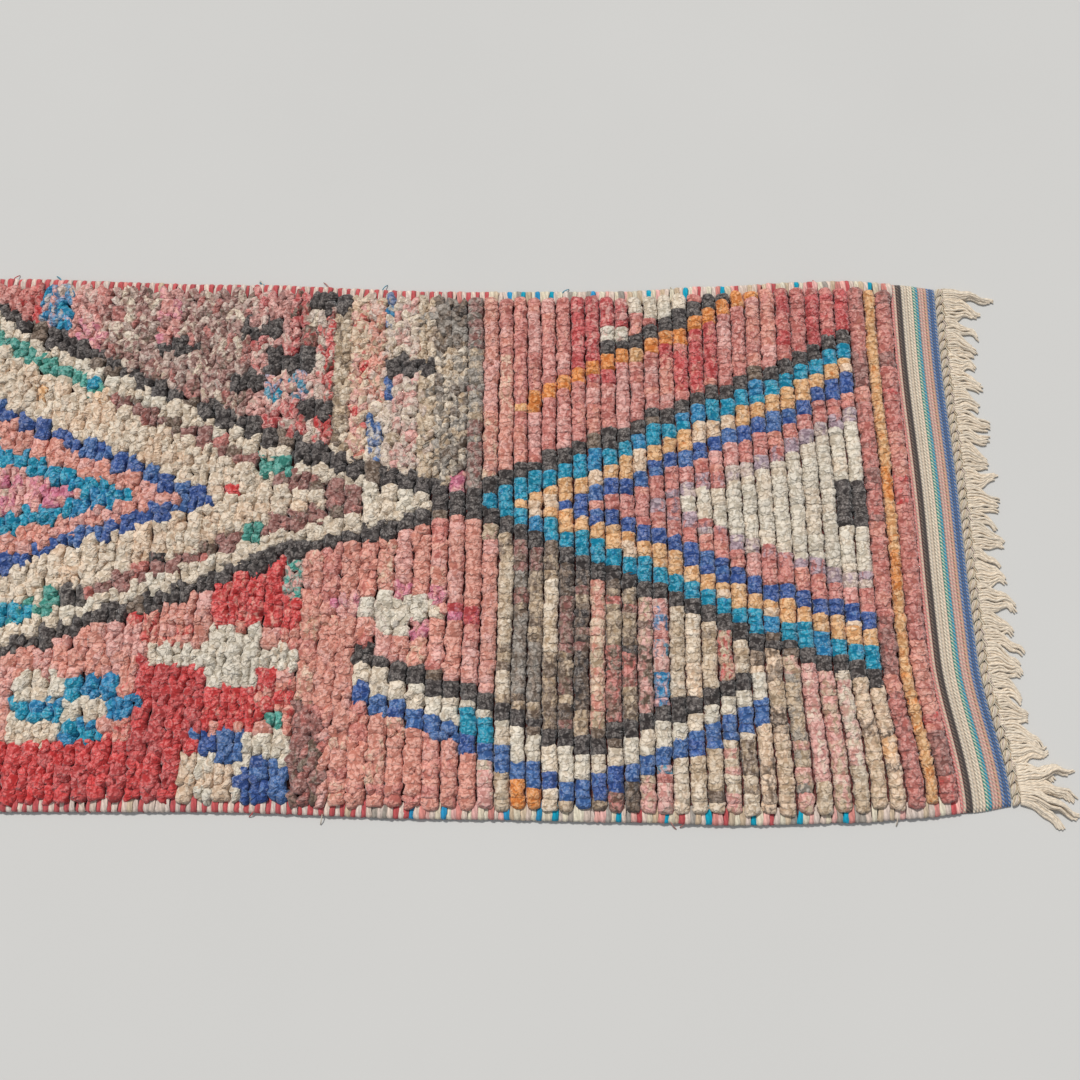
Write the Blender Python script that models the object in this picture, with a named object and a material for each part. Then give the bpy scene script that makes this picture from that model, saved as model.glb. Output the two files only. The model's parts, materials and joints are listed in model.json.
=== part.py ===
"""Moroccan runner rug: a ribbed wool pile cloth, a twined edge with its warp fringe, a closing cord.

Metres, +Z up. +X runs along the runner toward its fringed end and +Y across it.
The origin lies on the floor under the middle of the runner.
"""

import math
import random
from typing import NamedTuple

import bmesh
import bpy

# Lengths along the runner, from its middle
HALF_LENGTH = 1.2450  # to the outer side of the twined edges
CLOTH_HALF_LENGTH = 1.2300  # to the ends of the woven cloth
PILE_HALF_LENGTH = 1.1820  # to the last rib of the pile

# Heights above the floor
CREST_HEIGHT = 0.0150
VALLEY_HEIGHT = 0.0075
SELVEDGE_HEIGHT = 0.0055
BAND_HEIGHT = 0.0040
EDGE_HEIGHT = 0.0062
STRAND_HEIGHT = 0.0032

# Pile ribs
RIB_COUNT = 121
RIB_SHOULDER = 0.32  # share of a rib's pitch between its valley and its flat crest
FIELD_COLUMNS = 5

# Flat-woven end bands
BAND_STEPS = 3
BAND_STEP_START = 0.0015

# Near corner of the fringed end, where the cloth is drawn out along the runner
SKEW_LENGTH = 0.022
SKEW_FROM_X = 0.86
SKEW_FROM_Y = -0.155
SKEW_TO_Y = -0.330

# Twined edges and fringe
SEAM_GAP = 0.0003
LINK_COUNT = 42
LINK_DIP = 0.30  # share of the edge's height lost between two links
LINK_WAIST = 0.15  # share of the edge's depth lost there
EDGE_INNER_SHARE = 0.75  # height of the edge where it meets the cloth
STRANDS_PER_LINK = 2
ROOT_SHARE = 0.60
STRAND_STEPS = 3
STRAND_TIP_SHARE = 0.72
STRAND_SWELL_START = 0.15
CLUMP_SIZES = (3, 4, 2, 4, 3, 5, 2, 3, 4, 3)
CLUMP_PULL = 0.24
CLUMP_LEAN = 0.0030
STRAND_SEED = 11

# Colours, roughness
PILE_COLOR = (0.44, 0.27, 0.22)
WARP_COLOR = (0.68, 0.60, 0.45)
CORD_COLOR = (0.60, 0.48, 0.38)
WOOL_ROUGHNESS = 0.95
COTTON_ROUGHNESS = 0.90


class Outline(NamedTuple):
    """The two long edges at one place along the runner."""

    x: float
    near: float
    far: float


OUTLINE = (
    Outline(-1.245, -0.3300, 0.3320),
    Outline(-1.050, -0.3400, 0.3390),
    Outline(-0.780, -0.3350, 0.3430),
    Outline(-0.480, -0.3420, 0.3350),
    Outline(-0.180, -0.3360, 0.3410),
    Outline(0.020, -0.3332, 0.3455),
    Outline(0.320, -0.3336, 0.3370),
    Outline(0.620, -0.3415, 0.3266),
    Outline(0.820, -0.3450, 0.3272),
    Outline(0.940, -0.3482, 0.3345),
    Outline(1.060, -0.3455, 0.3410),
    Outline(1.120, -0.3410, 0.3426),
    Outline(1.180, -0.3350, 0.3385),
    Outline(1.245, -0.3262, 0.3306),
)


class Rim(NamedTuple):
    """One line of the cloth near a long edge: how far in it lies, and its height."""

    inset: float
    selvedge: float  # share of the selvedge's height, where the pile doesn't reach
    pile: float  # share of the pile's height


RIMS = (
    Rim(0.0000, 0.00, 0.00),
    Rim(0.0030, 0.85, 0.00),
    Rim(0.0165, 1.00, 0.00),
    Rim(0.0215, 0.00, 0.90),
)


class Tuft(NamedTuple):
    """Extra size of the strands at a corner of the fringe."""

    strands: int
    length: float
    height: float
    lean: float


PLAIN_LENGTH = 0.044
LENGTH_SPREAD = 0.006
NEAR_TUFT = Tuft(strands=5, length=0.074, height=0.0060, lean=-0.0100)
FAR_TUFT = Tuft(strands=3, length=0.060, height=0.0042, lean=0.0060)


class Wave(NamedTuple):
    """A slow wave over the cloth: its size, and its run along and across in radians a metre."""

    size: float
    along: float
    across: float


WANDERS = (Wave(0.0014, 2.3, 9.0), Wave(0.0008, -5.1, 21.0))
LUMPS = (Wave(0.0011, 47.0, 23.0), Wave(0.0009, 83.0, -31.0))


def clear_scene():
    """Remove every object that the file opened with."""
    for thing in list(bpy.data.objects):
        bpy.data.objects.remove(thing, do_unlink=True)


def make_material(name, color, roughness):
    """Return a plain cloth material."""
    material = bpy.data.materials.new(name)
    material.use_nodes = True
    shader = material.node_tree.nodes["Principled BSDF"]
    shader.inputs["Base Color"].default_value = (*color, 1.0)
    shader.inputs["Roughness"].default_value = roughness
    shader.inputs["Metallic"].default_value = 0.0
    return material


def ease(value):
    """Rise smoothly from 0 to 1 as value goes from 0 to 1."""
    value = min(max(value, 0.0), 1.0)
    return value * value * (3.0 - 2.0 * value)


def long_edges(x):
    """Return the near and far edges' Y at a place along the runner."""
    rows = zip(OUTLINE, OUTLINE[1:])
    before, after = next(((a, b) for a, b in rows if x <= b.x), OUTLINE[-2:])
    share = ease((x - before.x) / (after.x - before.x))
    near = before.near + share * (after.near - before.near)
    far = before.far + share * (after.far - before.far)
    return near, far


def skew(x, y):
    """Return how far the drawn-out corner moves a point along the runner."""
    along = ease((x - SKEW_FROM_X) / (CLOTH_HALF_LENGTH - SKEW_FROM_X))
    across = ease((y - SKEW_FROM_Y) / (SKEW_TO_Y - SKEW_FROM_Y))
    return SKEW_LENGTH * along * across


def ripple(waves, x, y):
    """Return the sum of some waves at one place on the cloth."""
    return sum(wave.size * math.sin(wave.along * x + wave.across * y) for wave in waves)


def shares_across():
    """Return the lines of the open field, as shares of the width between the inner rims."""
    return [(step + 1) / (FIELD_COLUMNS + 1) for step in range(FIELD_COLUMNS)]


def cross_section(x, pile_height):
    """Return the points of the cloth's upper side at one place, from the near edge to the far one."""
    near, far = long_edges(x)
    on_pile = pile_height > BAND_HEIGHT
    inner = RIMS[-1].inset

    def rim_height(rim):
        if not on_pile:
            return BAND_HEIGHT if rim.inset > RIMS[1].inset else BAND_HEIGHT * rim.selvedge
        return SELVEDGE_HEIGHT * rim.selvedge + pile_height * rim.pile

    points = [(near + rim.inset, rim_height(rim)) for rim in RIMS]
    for share in shares_across():
        y = near + inner + share * (far - near - 2.0 * inner)
        points.append((y, pile_height + (ripple(LUMPS, x, y) if on_pile else 0.0)))
    points += [(far - rim.inset, rim_height(rim)) for rim in reversed(RIMS)]
    return [(x + skew(x, y) + ripple(WANDERS, x, y), y, z) for y, z in points]


def cloth_stations():
    """Return each cross-section's place along the runner with its height, from end to end."""
    pitch = 2.0 * PILE_HALF_LENGTH / RIB_COUNT
    ribs = []
    for rib in range(RIB_COUNT):
        start = -PILE_HALF_LENGTH + rib * pitch
        ribs.append((start, VALLEY_HEIGHT))
        ribs.append((start + RIB_SHOULDER * pitch, CREST_HEIGHT))
        ribs.append((start + (1.0 - RIB_SHOULDER) * pitch, CREST_HEIGHT))
    ribs.append((PILE_HALF_LENGTH, VALLEY_HEIGHT))

    first = PILE_HALF_LENGTH + BAND_STEP_START
    step = (CLOTH_HALF_LENGTH - first) / BAND_STEPS
    band = [(first + count * step, BAND_HEIGHT) for count in range(BAND_STEPS + 1)]
    return [(-x, z) for x, z in reversed(band)] + ribs + band


def finish(bm, name, material):
    """Turn a closed bmesh into a named object with its faces pointing out."""
    bmesh.ops.recalc_face_normals(bm, faces=bm.faces)
    mesh = bpy.data.meshes.new(name)
    bm.to_mesh(mesh)
    bm.free()
    mesh.materials.append(material)
    thing = bpy.data.objects.new(name, mesh)
    bpy.context.scene.collection.objects.link(thing)
    return thing


def build_rug_body():
    """Build the cloth: ribbed field, selvedges and end bands on a flat underside."""
    bm = bmesh.new()
    rows = [[bm.verts.new(point) for point in cross_section(x, z)] for x, z in cloth_stations()]
    for row, following in zip(rows, rows[1:]):
        for a, b, c, d in zip(row, row[1:], following[1:], following):
            bm.faces.new((a, b, c, d))

    # Each end wall drops straight down from the band's end, between the two long edges
    feet = []
    for row in (rows[0], rows[-1]):
        foot = [bm.verts.new((vert.co.x, vert.co.y, 0.0)) for vert in row[1:-1]]
        foot = [row[0], *foot, row[-1]]
        bm.faces.new((foot[0], row[1], foot[1]))
        for a, b, c, d in zip(row[1:-1], row[2:-1], foot[2:-1], foot[1:-1]):
            bm.faces.new((a, b, c, d))
        bm.faces.new((foot[-1], row[-2], foot[-2]))
        feet.append(foot)

    # The underside is one strip for each cross-section
    bm.faces.new([*feet[0], rows[1][-1], rows[1][0]])
    for row, following in zip(rows[1:-1], rows[2:-1]):
        bm.faces.new((row[0], following[0], following[-1], row[-1]))
    bm.faces.new([*feet[1], rows[-2][-1], rows[-2][0]])
    return finish(bm, "rug_body", make_material("knotted_pile", PILE_COLOR, WOOL_ROUGHNESS))


def cloth_end_x(side, y):
    """Return where the cloth's end wall stands at a place across the runner."""
    ends = cross_section(side * CLOTH_HALF_LENGTH, BAND_HEIGHT)
    spans = zip(ends, ends[1:])
    before, after = next(((a, b) for a, b in spans if y <= b[1]), ends[-2:])
    share = (y - before[1]) / (after[1] - before[1])
    return before[0] + share * (after[0] - before[0])


def edge_section(side, y, swell):
    """Return the five points round the twined edge, from its inner foot by way of its outer side."""
    depth = HALF_LENGTH - CLOTH_HALF_LENGTH
    inner = cloth_end_x(side, y) + side * SEAM_GAP
    height = EDGE_HEIGHT * (1.0 - LINK_DIP * (1.0 - swell))
    outer = inner + side * (depth - SEAM_GAP) * (1.0 - LINK_WAIST * (1.0 - swell))
    middle = 0.5 * (inner + outer)
    return (
        (inner, y, 0.0),
        (outer, y, 0.0),
        (outer, y, STRAND_HEIGHT),
        (middle, y, height),
        (inner, y, EDGE_INNER_SHARE * height),
    )


def close_edge(bm, rings, open_spans=()):
    """Skin the rings of a twined edge, and leave its outer side open where a strand grows."""
    for place, (ring, following) in enumerate(zip(rings, rings[1:])):
        for corner in range(len(ring)):
            after = (corner + 1) % len(ring)
            if corner == 1 and place in open_spans:
                continue
            bm.faces.new((ring[corner], ring[after], following[after], following[corner]))
    bm.faces.new(rings[0])
    bm.faces.new(rings[-1])


def clump_places(count):
    """Return for each strand its clump's number, and its place from the middle of that clump."""
    places = []
    clump = 0
    while len(places) < count:
        size = CLUMP_SIZES[clump % len(CLUMP_SIZES)]
        places += [(clump, place - 0.5 * (size - 1)) for place in range(size)]
        clump += 1
    return places[:count]


def corner_tuft(strand, count):
    """Return the tuft that a strand belongs to, or None, and its share of that tuft's size."""
    from_far = count - 1 - strand
    if strand < NEAR_TUFT.strands:
        return NEAR_TUFT, ease(1.0 - strand / NEAR_TUFT.strands)
    if from_far < FAR_TUFT.strands:
        return FAR_TUFT, ease(1.0 - from_far / FAR_TUFT.strands)
    return None, 0.0


def grow_strand(bm, root, length, drift, height):
    """Run one four-sided strand from its root on the edge to its tip, level on the floor."""
    start_x = 0.5 * (root[0].co.x + root[1].co.x)
    start_y = 0.5 * (root[0].co.y + root[1].co.y)
    half_width = 0.5 * abs(root[1].co.y - root[0].co.y)
    ring = root
    for step in range(1, STRAND_STEPS + 1):
        share = step / STRAND_STEPS
        x = start_x + share * length
        y = start_y + drift * ease(share)
        half = half_width * (1.0 - share * (1.0 - STRAND_TIP_SHARE))
        swell = math.sin(math.pi * min(share + STRAND_SWELL_START, 1.0))
        top = STRAND_HEIGHT + (height - STRAND_HEIGHT) * swell
        corners = ((y - half, 0.0), (y + half, 0.0), (y + half, top), (y - half, top))
        following = [bm.verts.new((x, side, z)) for side, z in corners]
        for corner in range(len(corners)):
            after = (corner + 1) % len(corners)
            bm.faces.new((ring[corner], ring[after], following[after], following[corner]))
        ring = following
    bm.faces.new(ring)


def build_fringe_end():
    """Build the twined edge with the warp ends that hang out of it in small clumps."""
    bm = bmesh.new()
    near, far = long_edges(CLOTH_HALF_LENGTH)
    count = LINK_COUNT * STRANDS_PER_LINK
    pitch = (far - near) / count
    margin = 0.5 * (1.0 - ROOT_SHARE) * pitch

    # Two strands leave each link, whose middle is its highest place
    rings = []
    for strand in range(count):
        start = near + strand * pitch
        first_of_link = strand % STRANDS_PER_LINK == 0
        swells = (0.0, 1.0) if first_of_link else (1.0, 0.0)
        for y, swell in zip((start + margin, start + pitch - margin), swells):
            rings.append([bm.verts.new(point) for point in edge_section(1.0, y, swell)])
    close_edge(bm, rings, open_spans=range(0, 2 * count, 2))

    chance = random.Random(STRAND_SEED)
    leans = [chance.uniform(-CLUMP_LEAN, CLUMP_LEAN) for _ in range(count)]
    for strand, (clump, place) in enumerate(clump_places(count)):
        ring, following = rings[2 * strand], rings[2 * strand + 1]
        length = PLAIN_LENGTH + chance.uniform(-LENGTH_SPREAD, LENGTH_SPREAD)
        drift = leans[clump] - CLUMP_PULL * place * pitch
        height = STRAND_HEIGHT
        tuft, share = corner_tuft(strand, count)
        if tuft:
            length += share * (tuft.length - PLAIN_LENGTH)
            height += share * (tuft.height - STRAND_HEIGHT)
            drift += share * (tuft.lean - drift)
        root = (ring[1], following[1], following[2], ring[2])
        grow_strand(bm, root, length, drift, height)
    return finish(bm, "fringe_end", make_material("warp_cotton", WARP_COLOR, COTTON_ROUGHNESS))


def build_closing_cord():
    """Build the plain twined cord at the end where the weaving starts."""
    bm = bmesh.new()
    near, far = long_edges(-CLOTH_HALF_LENGTH)
    spans = 2 * LINK_COUNT
    rings = []
    for place in range(spans + 1):
        y = near + (far - near) * place / spans
        rings.append([bm.verts.new(point) for point in edge_section(-1.0, y, float(place % 2))])
    close_edge(bm, rings)
    return finish(bm, "closing_cord", make_material("cord_cotton", CORD_COLOR, COTTON_ROUGHNESS))


def main():
    """Build the runner's three pieces."""
    clear_scene()
    build_rug_body()
    build_fringe_end()
    build_closing_cord()


main()
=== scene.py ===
"""Looks of the moroccan runner rug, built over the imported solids.

The runner is woven again here as a weaver makes it: a ground weave, a pile of separate wool knots in ribs,
yarn wrapped over both selvedges, flat-woven end bands, a twined edge with its warp fringe, and a closing
cord. Metres, +Z up, +X along the runner toward the fringe, +Y across it.
"""

import json
import logging
import math
import random
import sys
from dataclasses import dataclass, field
from enum import Enum
from typing import Any, Callable, Iterable, NamedTuple, Optional, Sequence, Union

import bpy
import numpy as np
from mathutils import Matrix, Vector

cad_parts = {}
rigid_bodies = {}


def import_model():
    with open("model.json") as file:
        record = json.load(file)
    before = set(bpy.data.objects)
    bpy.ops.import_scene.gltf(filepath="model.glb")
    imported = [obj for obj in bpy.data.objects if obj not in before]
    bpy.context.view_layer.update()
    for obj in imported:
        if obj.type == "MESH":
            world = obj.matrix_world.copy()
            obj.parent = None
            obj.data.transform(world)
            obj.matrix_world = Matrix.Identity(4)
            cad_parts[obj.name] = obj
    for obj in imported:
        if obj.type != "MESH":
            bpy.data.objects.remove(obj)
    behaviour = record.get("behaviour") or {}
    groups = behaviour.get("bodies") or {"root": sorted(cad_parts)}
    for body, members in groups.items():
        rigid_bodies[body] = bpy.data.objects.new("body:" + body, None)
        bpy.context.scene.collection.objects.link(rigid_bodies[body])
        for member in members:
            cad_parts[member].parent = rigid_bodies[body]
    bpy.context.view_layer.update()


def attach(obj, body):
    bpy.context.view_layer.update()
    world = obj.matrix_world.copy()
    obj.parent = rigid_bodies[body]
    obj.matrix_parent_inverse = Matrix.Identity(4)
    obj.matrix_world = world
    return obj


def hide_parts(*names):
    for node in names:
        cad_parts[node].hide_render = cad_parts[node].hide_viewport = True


LOG = logging.getLogger("runner_rug")

STORED_AS = {"INT": "value", "FLOAT": "value", "FLOAT_VECTOR": "vector", "FLOAT_COLOR": "color"}
FLOOR_GAP = 0.0004
FULL_TURN = 2.0 * math.pi

Point = tuple[float, float, float]
Color = tuple[float, float, float]
Tone = tuple[float, float, float, float]


def linear(display: Sequence[int]) -> Color:
    """Turn a display colour, 0 to 255, into linear light.

    Args:
        display: Red, green and blue as a screen shows them.

    Returns:
        The same colour in linear light, 0 to 1.
    """
    shares = [value / 255.0 for value in display]
    steps = [s / 12.92 if s <= 0.04045 else ((s + 0.055) / 1.055) ** 2.4 for s in shares]
    return steps[0], steps[1], steps[2]


def ease(value: float) -> float:
    """Rise smoothly from 0 to 1 as value goes from 0 to 1."""
    value = min(max(value, 0.0), 1.0)
    return value * value * (3.0 - 2.0 * value)


class Dye(Enum):
    """The dyed wools and cottons, as they look in daylight."""

    CHARCOAL = (88, 80, 78)
    GREY = (168, 159, 149)
    WHITE = (234, 224, 207)
    CREAM = (238, 222, 201)
    PEACH_CREAM = (240, 213, 186)
    JADE = (92, 176, 162)
    TURQUOISE = (12, 164, 194)
    SKY = (44, 148, 196)
    ROYAL = (64, 100, 168)
    DENIM = (80, 124, 182)
    SALMON = (234, 168, 150)
    PINK = (238, 182, 172)
    ROSE = (218, 142, 132)
    DEEP_ROSE = (210, 92, 92)
    CORAL = (226, 80, 80)
    APRICOT = (240, 192, 140)
    ORANGE = (238, 156, 80)
    MAUVE = (172, 122, 114)
    LILAC = (188, 166, 176)
    BROWN_MARL = (136, 116, 100)
    BEIGE = (211, 188, 160)
    MAGENTA = (222, 134, 160)
    WARP = (228, 216, 192)
    FRINGE = (236, 220, 198)
    BLUSH = (224, 204, 190)
    EDGE_RED = (198, 90, 92)
    GROUND = (112, 66, 62)


class Yarn(NamedTuple):
    """What is spun into the knots of one area: a main dye, and the share of some others."""

    main: Dye
    share: float
    others: tuple[Dye, ...]


def spin(main: Dye, share: float, *others: Dye) -> Yarn:
    """Name the yarn of an area."""
    return Yarn(main, share, others or (main,))


class Edge(NamedTuple):
    """Where the two long edges lie at one place along the runner."""

    x: float
    near: float
    far: float


class Wave(NamedTuple):
    """A slow wave over the cloth: its size, and its run along and across in radians a metre."""

    size: float
    along: float
    across: float


@dataclass(frozen=True)
class Cloth:
    """The lie of the cloth on the floor, which every piece follows."""

    half_length: float = 1.2450
    cloth_half: float = 1.2300
    pile_half: float = 1.1820
    pile_end: float = 1.1710
    rib_count: int = 121
    selvedge: float = 0.0160
    crest: float = 0.0158
    band_height: float = 0.0040
    skew_length: float = 0.022
    skew_from_x: float = 0.86
    skew_from_y: float = -0.155
    skew_to_y: float = -0.330
    wanders: tuple[Wave, ...] = (Wave(0.0014, 2.3, 9.0), Wave(0.0008, -5.1, 21.0))
    lumps: tuple[Wave, ...] = (Wave(0.0006, 47.0, 23.0), Wave(0.0006, 83.0, -31.0))
    outline: tuple[Edge, ...] = (
        Edge(-1.245, -0.3300, 0.3320), Edge(-1.050, -0.3400, 0.3390), Edge(-0.780, -0.3350, 0.3430),
        Edge(-0.480, -0.3420, 0.3350), Edge(-0.180, -0.3360, 0.3410), Edge(0.020, -0.3332, 0.3455),
        Edge(0.320, -0.3336, 0.3370), Edge(0.620, -0.3415, 0.3266), Edge(0.820, -0.3450, 0.3272),
        Edge(0.940, -0.3482, 0.3345), Edge(1.060, -0.3455, 0.3410), Edge(1.120, -0.3410, 0.3426),
        Edge(1.180, -0.3350, 0.3385), Edge(1.245, -0.3262, 0.3306),
    )

    @property
    def rib_pitch(self) -> float:
        """The distance between two ribs."""
        return 2.0 * self.pile_half / self.rib_count

    def edges(self, x: float) -> tuple[float, float]:
        """Find the long edges.

        Args:
            x: Place along the runner.

        Returns:
            Y of the near edge and of the far edge.
        """
        pairs = zip(self.outline, self.outline[1:])
        before, after = next(((a, b) for a, b in pairs if x <= b.x), self.outline[-2:])
        share = ease((x - before.x) / (after.x - before.x))
        near = before.near + share * (after.near - before.near)
        far = before.far + share * (after.far - before.far)
        return near, far

    def shift(self, x: float, y: float) -> float:
        """Find how far the drawn-out corner and the slow bend of the ribs move a point along X.

        Args:
            x: The point's place along the runner.
            y: Its place across the runner.

        Returns:
            The move along the runner.
        """
        along = ease((x - self.skew_from_x) / (self.cloth_half - self.skew_from_x))
        across = ease((y - self.skew_from_y) / (self.skew_to_y - self.skew_from_y))
        return self.skew_length * along * across + self.ripple(self.wanders, x, y)

    @staticmethod
    def ripple(waves: Iterable[Wave], x: float, y: float) -> float:
        """Add up some waves at one place."""
        return sum(wave.size * math.sin(wave.along * x + wave.across * y) for wave in waves)


class Bend(NamedTuple):
    """A point where a woven line turns, in chart millimetres."""

    x: float
    y: float


def line(*bends: tuple[float, float]) -> tuple[Bend, ...]:
    """Make a woven line from its bends, from left to right."""
    return tuple(Bend(*bend) for bend in bends)


def height_of(bends: Sequence[Bend], x: float) -> float:
    """Find a woven line's Y at a place along the chart."""
    return float(np.interp(x, [b.x for b in bends], [b.y for b in bends]))


class Patch(NamedTuple):
    """A block of knots in the ground, in chart millimetres, with its yarn."""

    left: float
    right: float
    low: float
    high: float
    yarn: Yarn


def block(x: float, y: float, width: float, height: float, yarn: Yarn) -> Patch:
    """Make a patch from its middle and its size."""
    return Patch(x - width / 2, x + width / 2, y - height / 2, y + height / 2, yarn)


def patches(yarn: Yarn, *sides: tuple[float, float, float, float]) -> tuple[Patch, ...]:
    """Make patches of one yarn from their left, right, low and high sides."""
    return tuple(Patch(*four, yarn) for four in sides)


def stripes(start: tuple[float, float, float], *ends: tuple[float, Yarn]) -> tuple[Patch, ...]:
    """Make patches of one height that lie side by side.

    Args:
        start: The first one's left side, and the low and high side of all.
        ends: Where each one ends on its right, and its yarn.

    Returns:
        The patches, from left to right.
    """
    left, low, high = start
    lefts = (left, *(right for right, _ in ends))
    return tuple(Patch(side, right, low, high, yarn) for side, (right, yarn) in zip(lefts, ends))


class Chart:
    """The weaver's chart: which yarn goes into the knot at each place.

    Chart millimetres run from a point 715 mm along the runner from its middle. Past the big lozenge's
    middle the chart turns back, with the ground's motifs turned over.
    """

    ORIGIN = Vector((0.715, -0.0144))
    CREST_SCALE = 1012.0  # chart millimetres for each metre of cloth
    TURN = -718.0
    BORDER = 411.0
    MARL_END = -68.0
    RED_END = -290.0
    SALMON_END = -52.0
    MIDDLE = 48.0

    OUTLINE_OUT = 10.0  # how far a dark outline reaches out of its line, and into it
    OUTLINE_IN = 11.0
    BAND_INNER, BAND_OUTER = 31.0, 51.0  # the coloured band inside the big lozenge
    BAND_END = -228.0
    JADE_END = -548.0
    CHEVRON_OUT, CHEVRON_IN = 9.0, 10.0
    HEART_IN, HEART_CORE = 14.0, 44.0
    BLUE_OUT, BLUE_IN = 13.0, 12.0
    SUNBEAM_HALF = 10.0
    SUNBEAM_START, SHADE_START = -32.0, 82.0
    BLUE_RUN_ON = 18.0  # how far the blue runs on after the dark zigzag ends
    ORANGE_HALF, ORANGE_TOP = 20.0, -282.0

    LOZENGE_UPPER = line((-720, 322), (-700, 311), (-550, 234), (-427, 175), (-291, 115), (-85, 50))
    LOZENGE_LOWER = line(
        (-720, -168), (-632, -135), (-518, -94), (-427, -62), (-320, -16), (-184, 15), (-85, 50)
    )
    CHEVRON_UPPER = line((-720, 187), (-641, 152), (-518, 100), (-464, 72), (-405, 56))
    CHEVRON_LOWER = line((-720, -62), (-655, -35), (-600, -7), (-541, 11), (-477, 34), (-405, 56))
    HEART_UPPER = line((-720, 131), (-672, 113), (-520, 58))
    HEART_LOWER = line((-720, -5), (-636, 25), (-520, 58))
    HALF_UPPER = line((-91, 47), (-47, 79), (16, 106), (98, 138), (196, 184), (305, 229), (412, 288))
    HALF_LOWER = line((-91, 47), (-47, 20), (57, -30), (146, -66), (255, -121), (396, -166), (412, -172))
    ZIGZAG = line((-218, -137), (-125, -175), (-65, -194), (7, -235), (53, -248), (128, -221), (250, -168))
    ZIGZAG_BLUE = line((-220, -187), (-120, -225), (-38, -266), (44, -303), (128, -266), (270, -203))
    SUNBEAM = line((-30, 172), (80, 235), (170, 272), (215, 300), (290, 345))
    SUNBEAM_SHADE = line((85, 252), (210, 315), (258, 346))

    OUTLINE = spin(Dye.CHARCOAL, 0.10, Dye.BROWN_MARL)
    HALF_BANDS = (
        (10.0, OUTLINE),
        (34.0, spin(Dye.TURQUOISE, 0.25, Dye.SKY)),
        (57.0, spin(Dye.APRICOT, 0.30, Dye.PEACH_CREAM, Dye.PEACH_CREAM, Dye.ORANGE, Dye.PEACH_CREAM)),
        (78.0, spin(Dye.ROYAL, 0.25, Dye.DENIM)),
        (104.0, spin(Dye.ROSE, 0.45, Dye.SALMON, Dye.PINK)),
        (122.0, spin(Dye.LILAC, 0.45, Dye.ROSE, Dye.BLUSH)),
        (1000.0, spin(Dye.WHITE, 0.40, Dye.CREAM)),
    )

    BORDER_RIBS = (
        (422.0, spin(Dye.ROSE, 0.45, Dye.MAUVE, Dye.SALMON)),
        (437.0, spin(Dye.APRICOT, 0.40, Dye.ORANGE)),
        (1000.0, spin(Dye.ROSE, 0.42, Dye.SALMON, Dye.MAUVE, Dye.CORAL)),
    )

    DARK_BLOCKS = (
        (-464, 259, 58, 20), (-357, 283, 50, 22), (-322, 240, 52, 32), (-372, 211, 42, 22),
        (-284, 176, 48, 22), (-161, 234, 62, 22), (-275, 326, 46, 28),
    )
    UPPER_LEFT = (
        Patch(-760, -655, 230, 380, spin(Dye.ROSE, 0.45, Dye.CORAL, Dye.PINK)),
        Patch(-655, -565, 230, 380, spin(Dye.PINK, 0.62, Dye.BLUSH, Dye.MAUVE, Dye.ROSE)),
        Patch(-650, -612, 282, 352, spin(Dye.SKY, 0.60, Dye.BLUSH, Dye.TURQUOISE, Dye.PINK)),
        block(-583, 278, 30, 34, spin(Dye.PINK, 0.64, Dye.MAGENTA)),
        Patch(-497, -465, 262, 350, spin(Dye.PINK, 0.64, Dye.MAGENTA, Dye.MAUVE, Dye.ROSE)),
        *stripes(
            (-380, 100, 380),
            (-322, spin(Dye.PINK, 0.68, Dye.MAUVE, Dye.BLUSH, Dye.DEEP_ROSE)),
            (-299, spin(Dye.DEEP_ROSE, 0.68, Dye.PINK, Dye.BROWN_MARL, Dye.BLUSH)),
            (-279, spin(Dye.BLUSH, 0.60, Dye.PINK, Dye.CREAM, Dye.CORAL)),
            (-261, spin(Dye.CORAL, 0.66, Dye.PINK, Dye.BROWN_MARL, Dye.BLUSH)),
        ),
        *stripes(
            (-261, 60, 380),
            (-243, spin(Dye.BEIGE, 0.62, Dye.BROWN_MARL, Dye.CREAM)),
            (-222, spin(Dye.PEACH_CREAM, 0.62, Dye.CORAL, Dye.PINK, Dye.CREAM)),
            (-203, spin(Dye.SALMON, 0.60, Dye.BLUSH, Dye.BEIGE)),
            (-184, spin(Dye.BLUSH, 0.60, Dye.CREAM, Dye.BEIGE)),
            (-161, spin(Dye.BLUSH, 0.55, Dye.PINK, Dye.CREAM)),
            (-130, spin(Dye.BEIGE, 0.60, Dye.CREAM, Dye.BLUSH, Dye.GREY)),
        ),
        Patch(-222, -203, 60, 185, spin(Dye.CREAM, 0.68, Dye.DENIM, Dye.BLUSH, Dye.DENIM)),
        Patch(-203, -184, 185, 245, spin(Dye.DENIM, 0.62, Dye.CREAM, Dye.ROYAL)),
        Patch(-203, -184, 290, 345, spin(Dye.CREAM, 0.66, Dye.DENIM, Dye.SKY, Dye.BLUSH)),
        Patch(-352, -300, 188, 226, spin(Dye.PINK, 0.68, Dye.TURQUOISE, Dye.CREAM, Dye.SKY)),
        Patch(-134, -88, 255, 380, spin(Dye.BROWN_MARL, 0.62, Dye.GREY, Dye.BEIGE, Dye.GREY, Dye.CHARCOAL)),
        Patch(-134, -88, 220, 255, spin(Dye.CREAM, 0.56, Dye.BEIGE, Dye.GREY)),
        Patch(-134, -88, 60, 220, spin(Dye.GREY, 0.66, Dye.CREAM, Dye.BROWN_MARL, Dye.BEIGE)),
        Patch(-88, -68, 60, 380, spin(Dye.GREY, 0.60, Dye.MAUVE, Dye.BEIGE)),
        block(-108, 76, 20, 22, spin(Dye.MAGENTA, 0.40, Dye.PINK)),
        *(block(*place, spin(Dye.CHARCOAL, 0.0)) for place in DARK_BLOCKS),
    )

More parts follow.
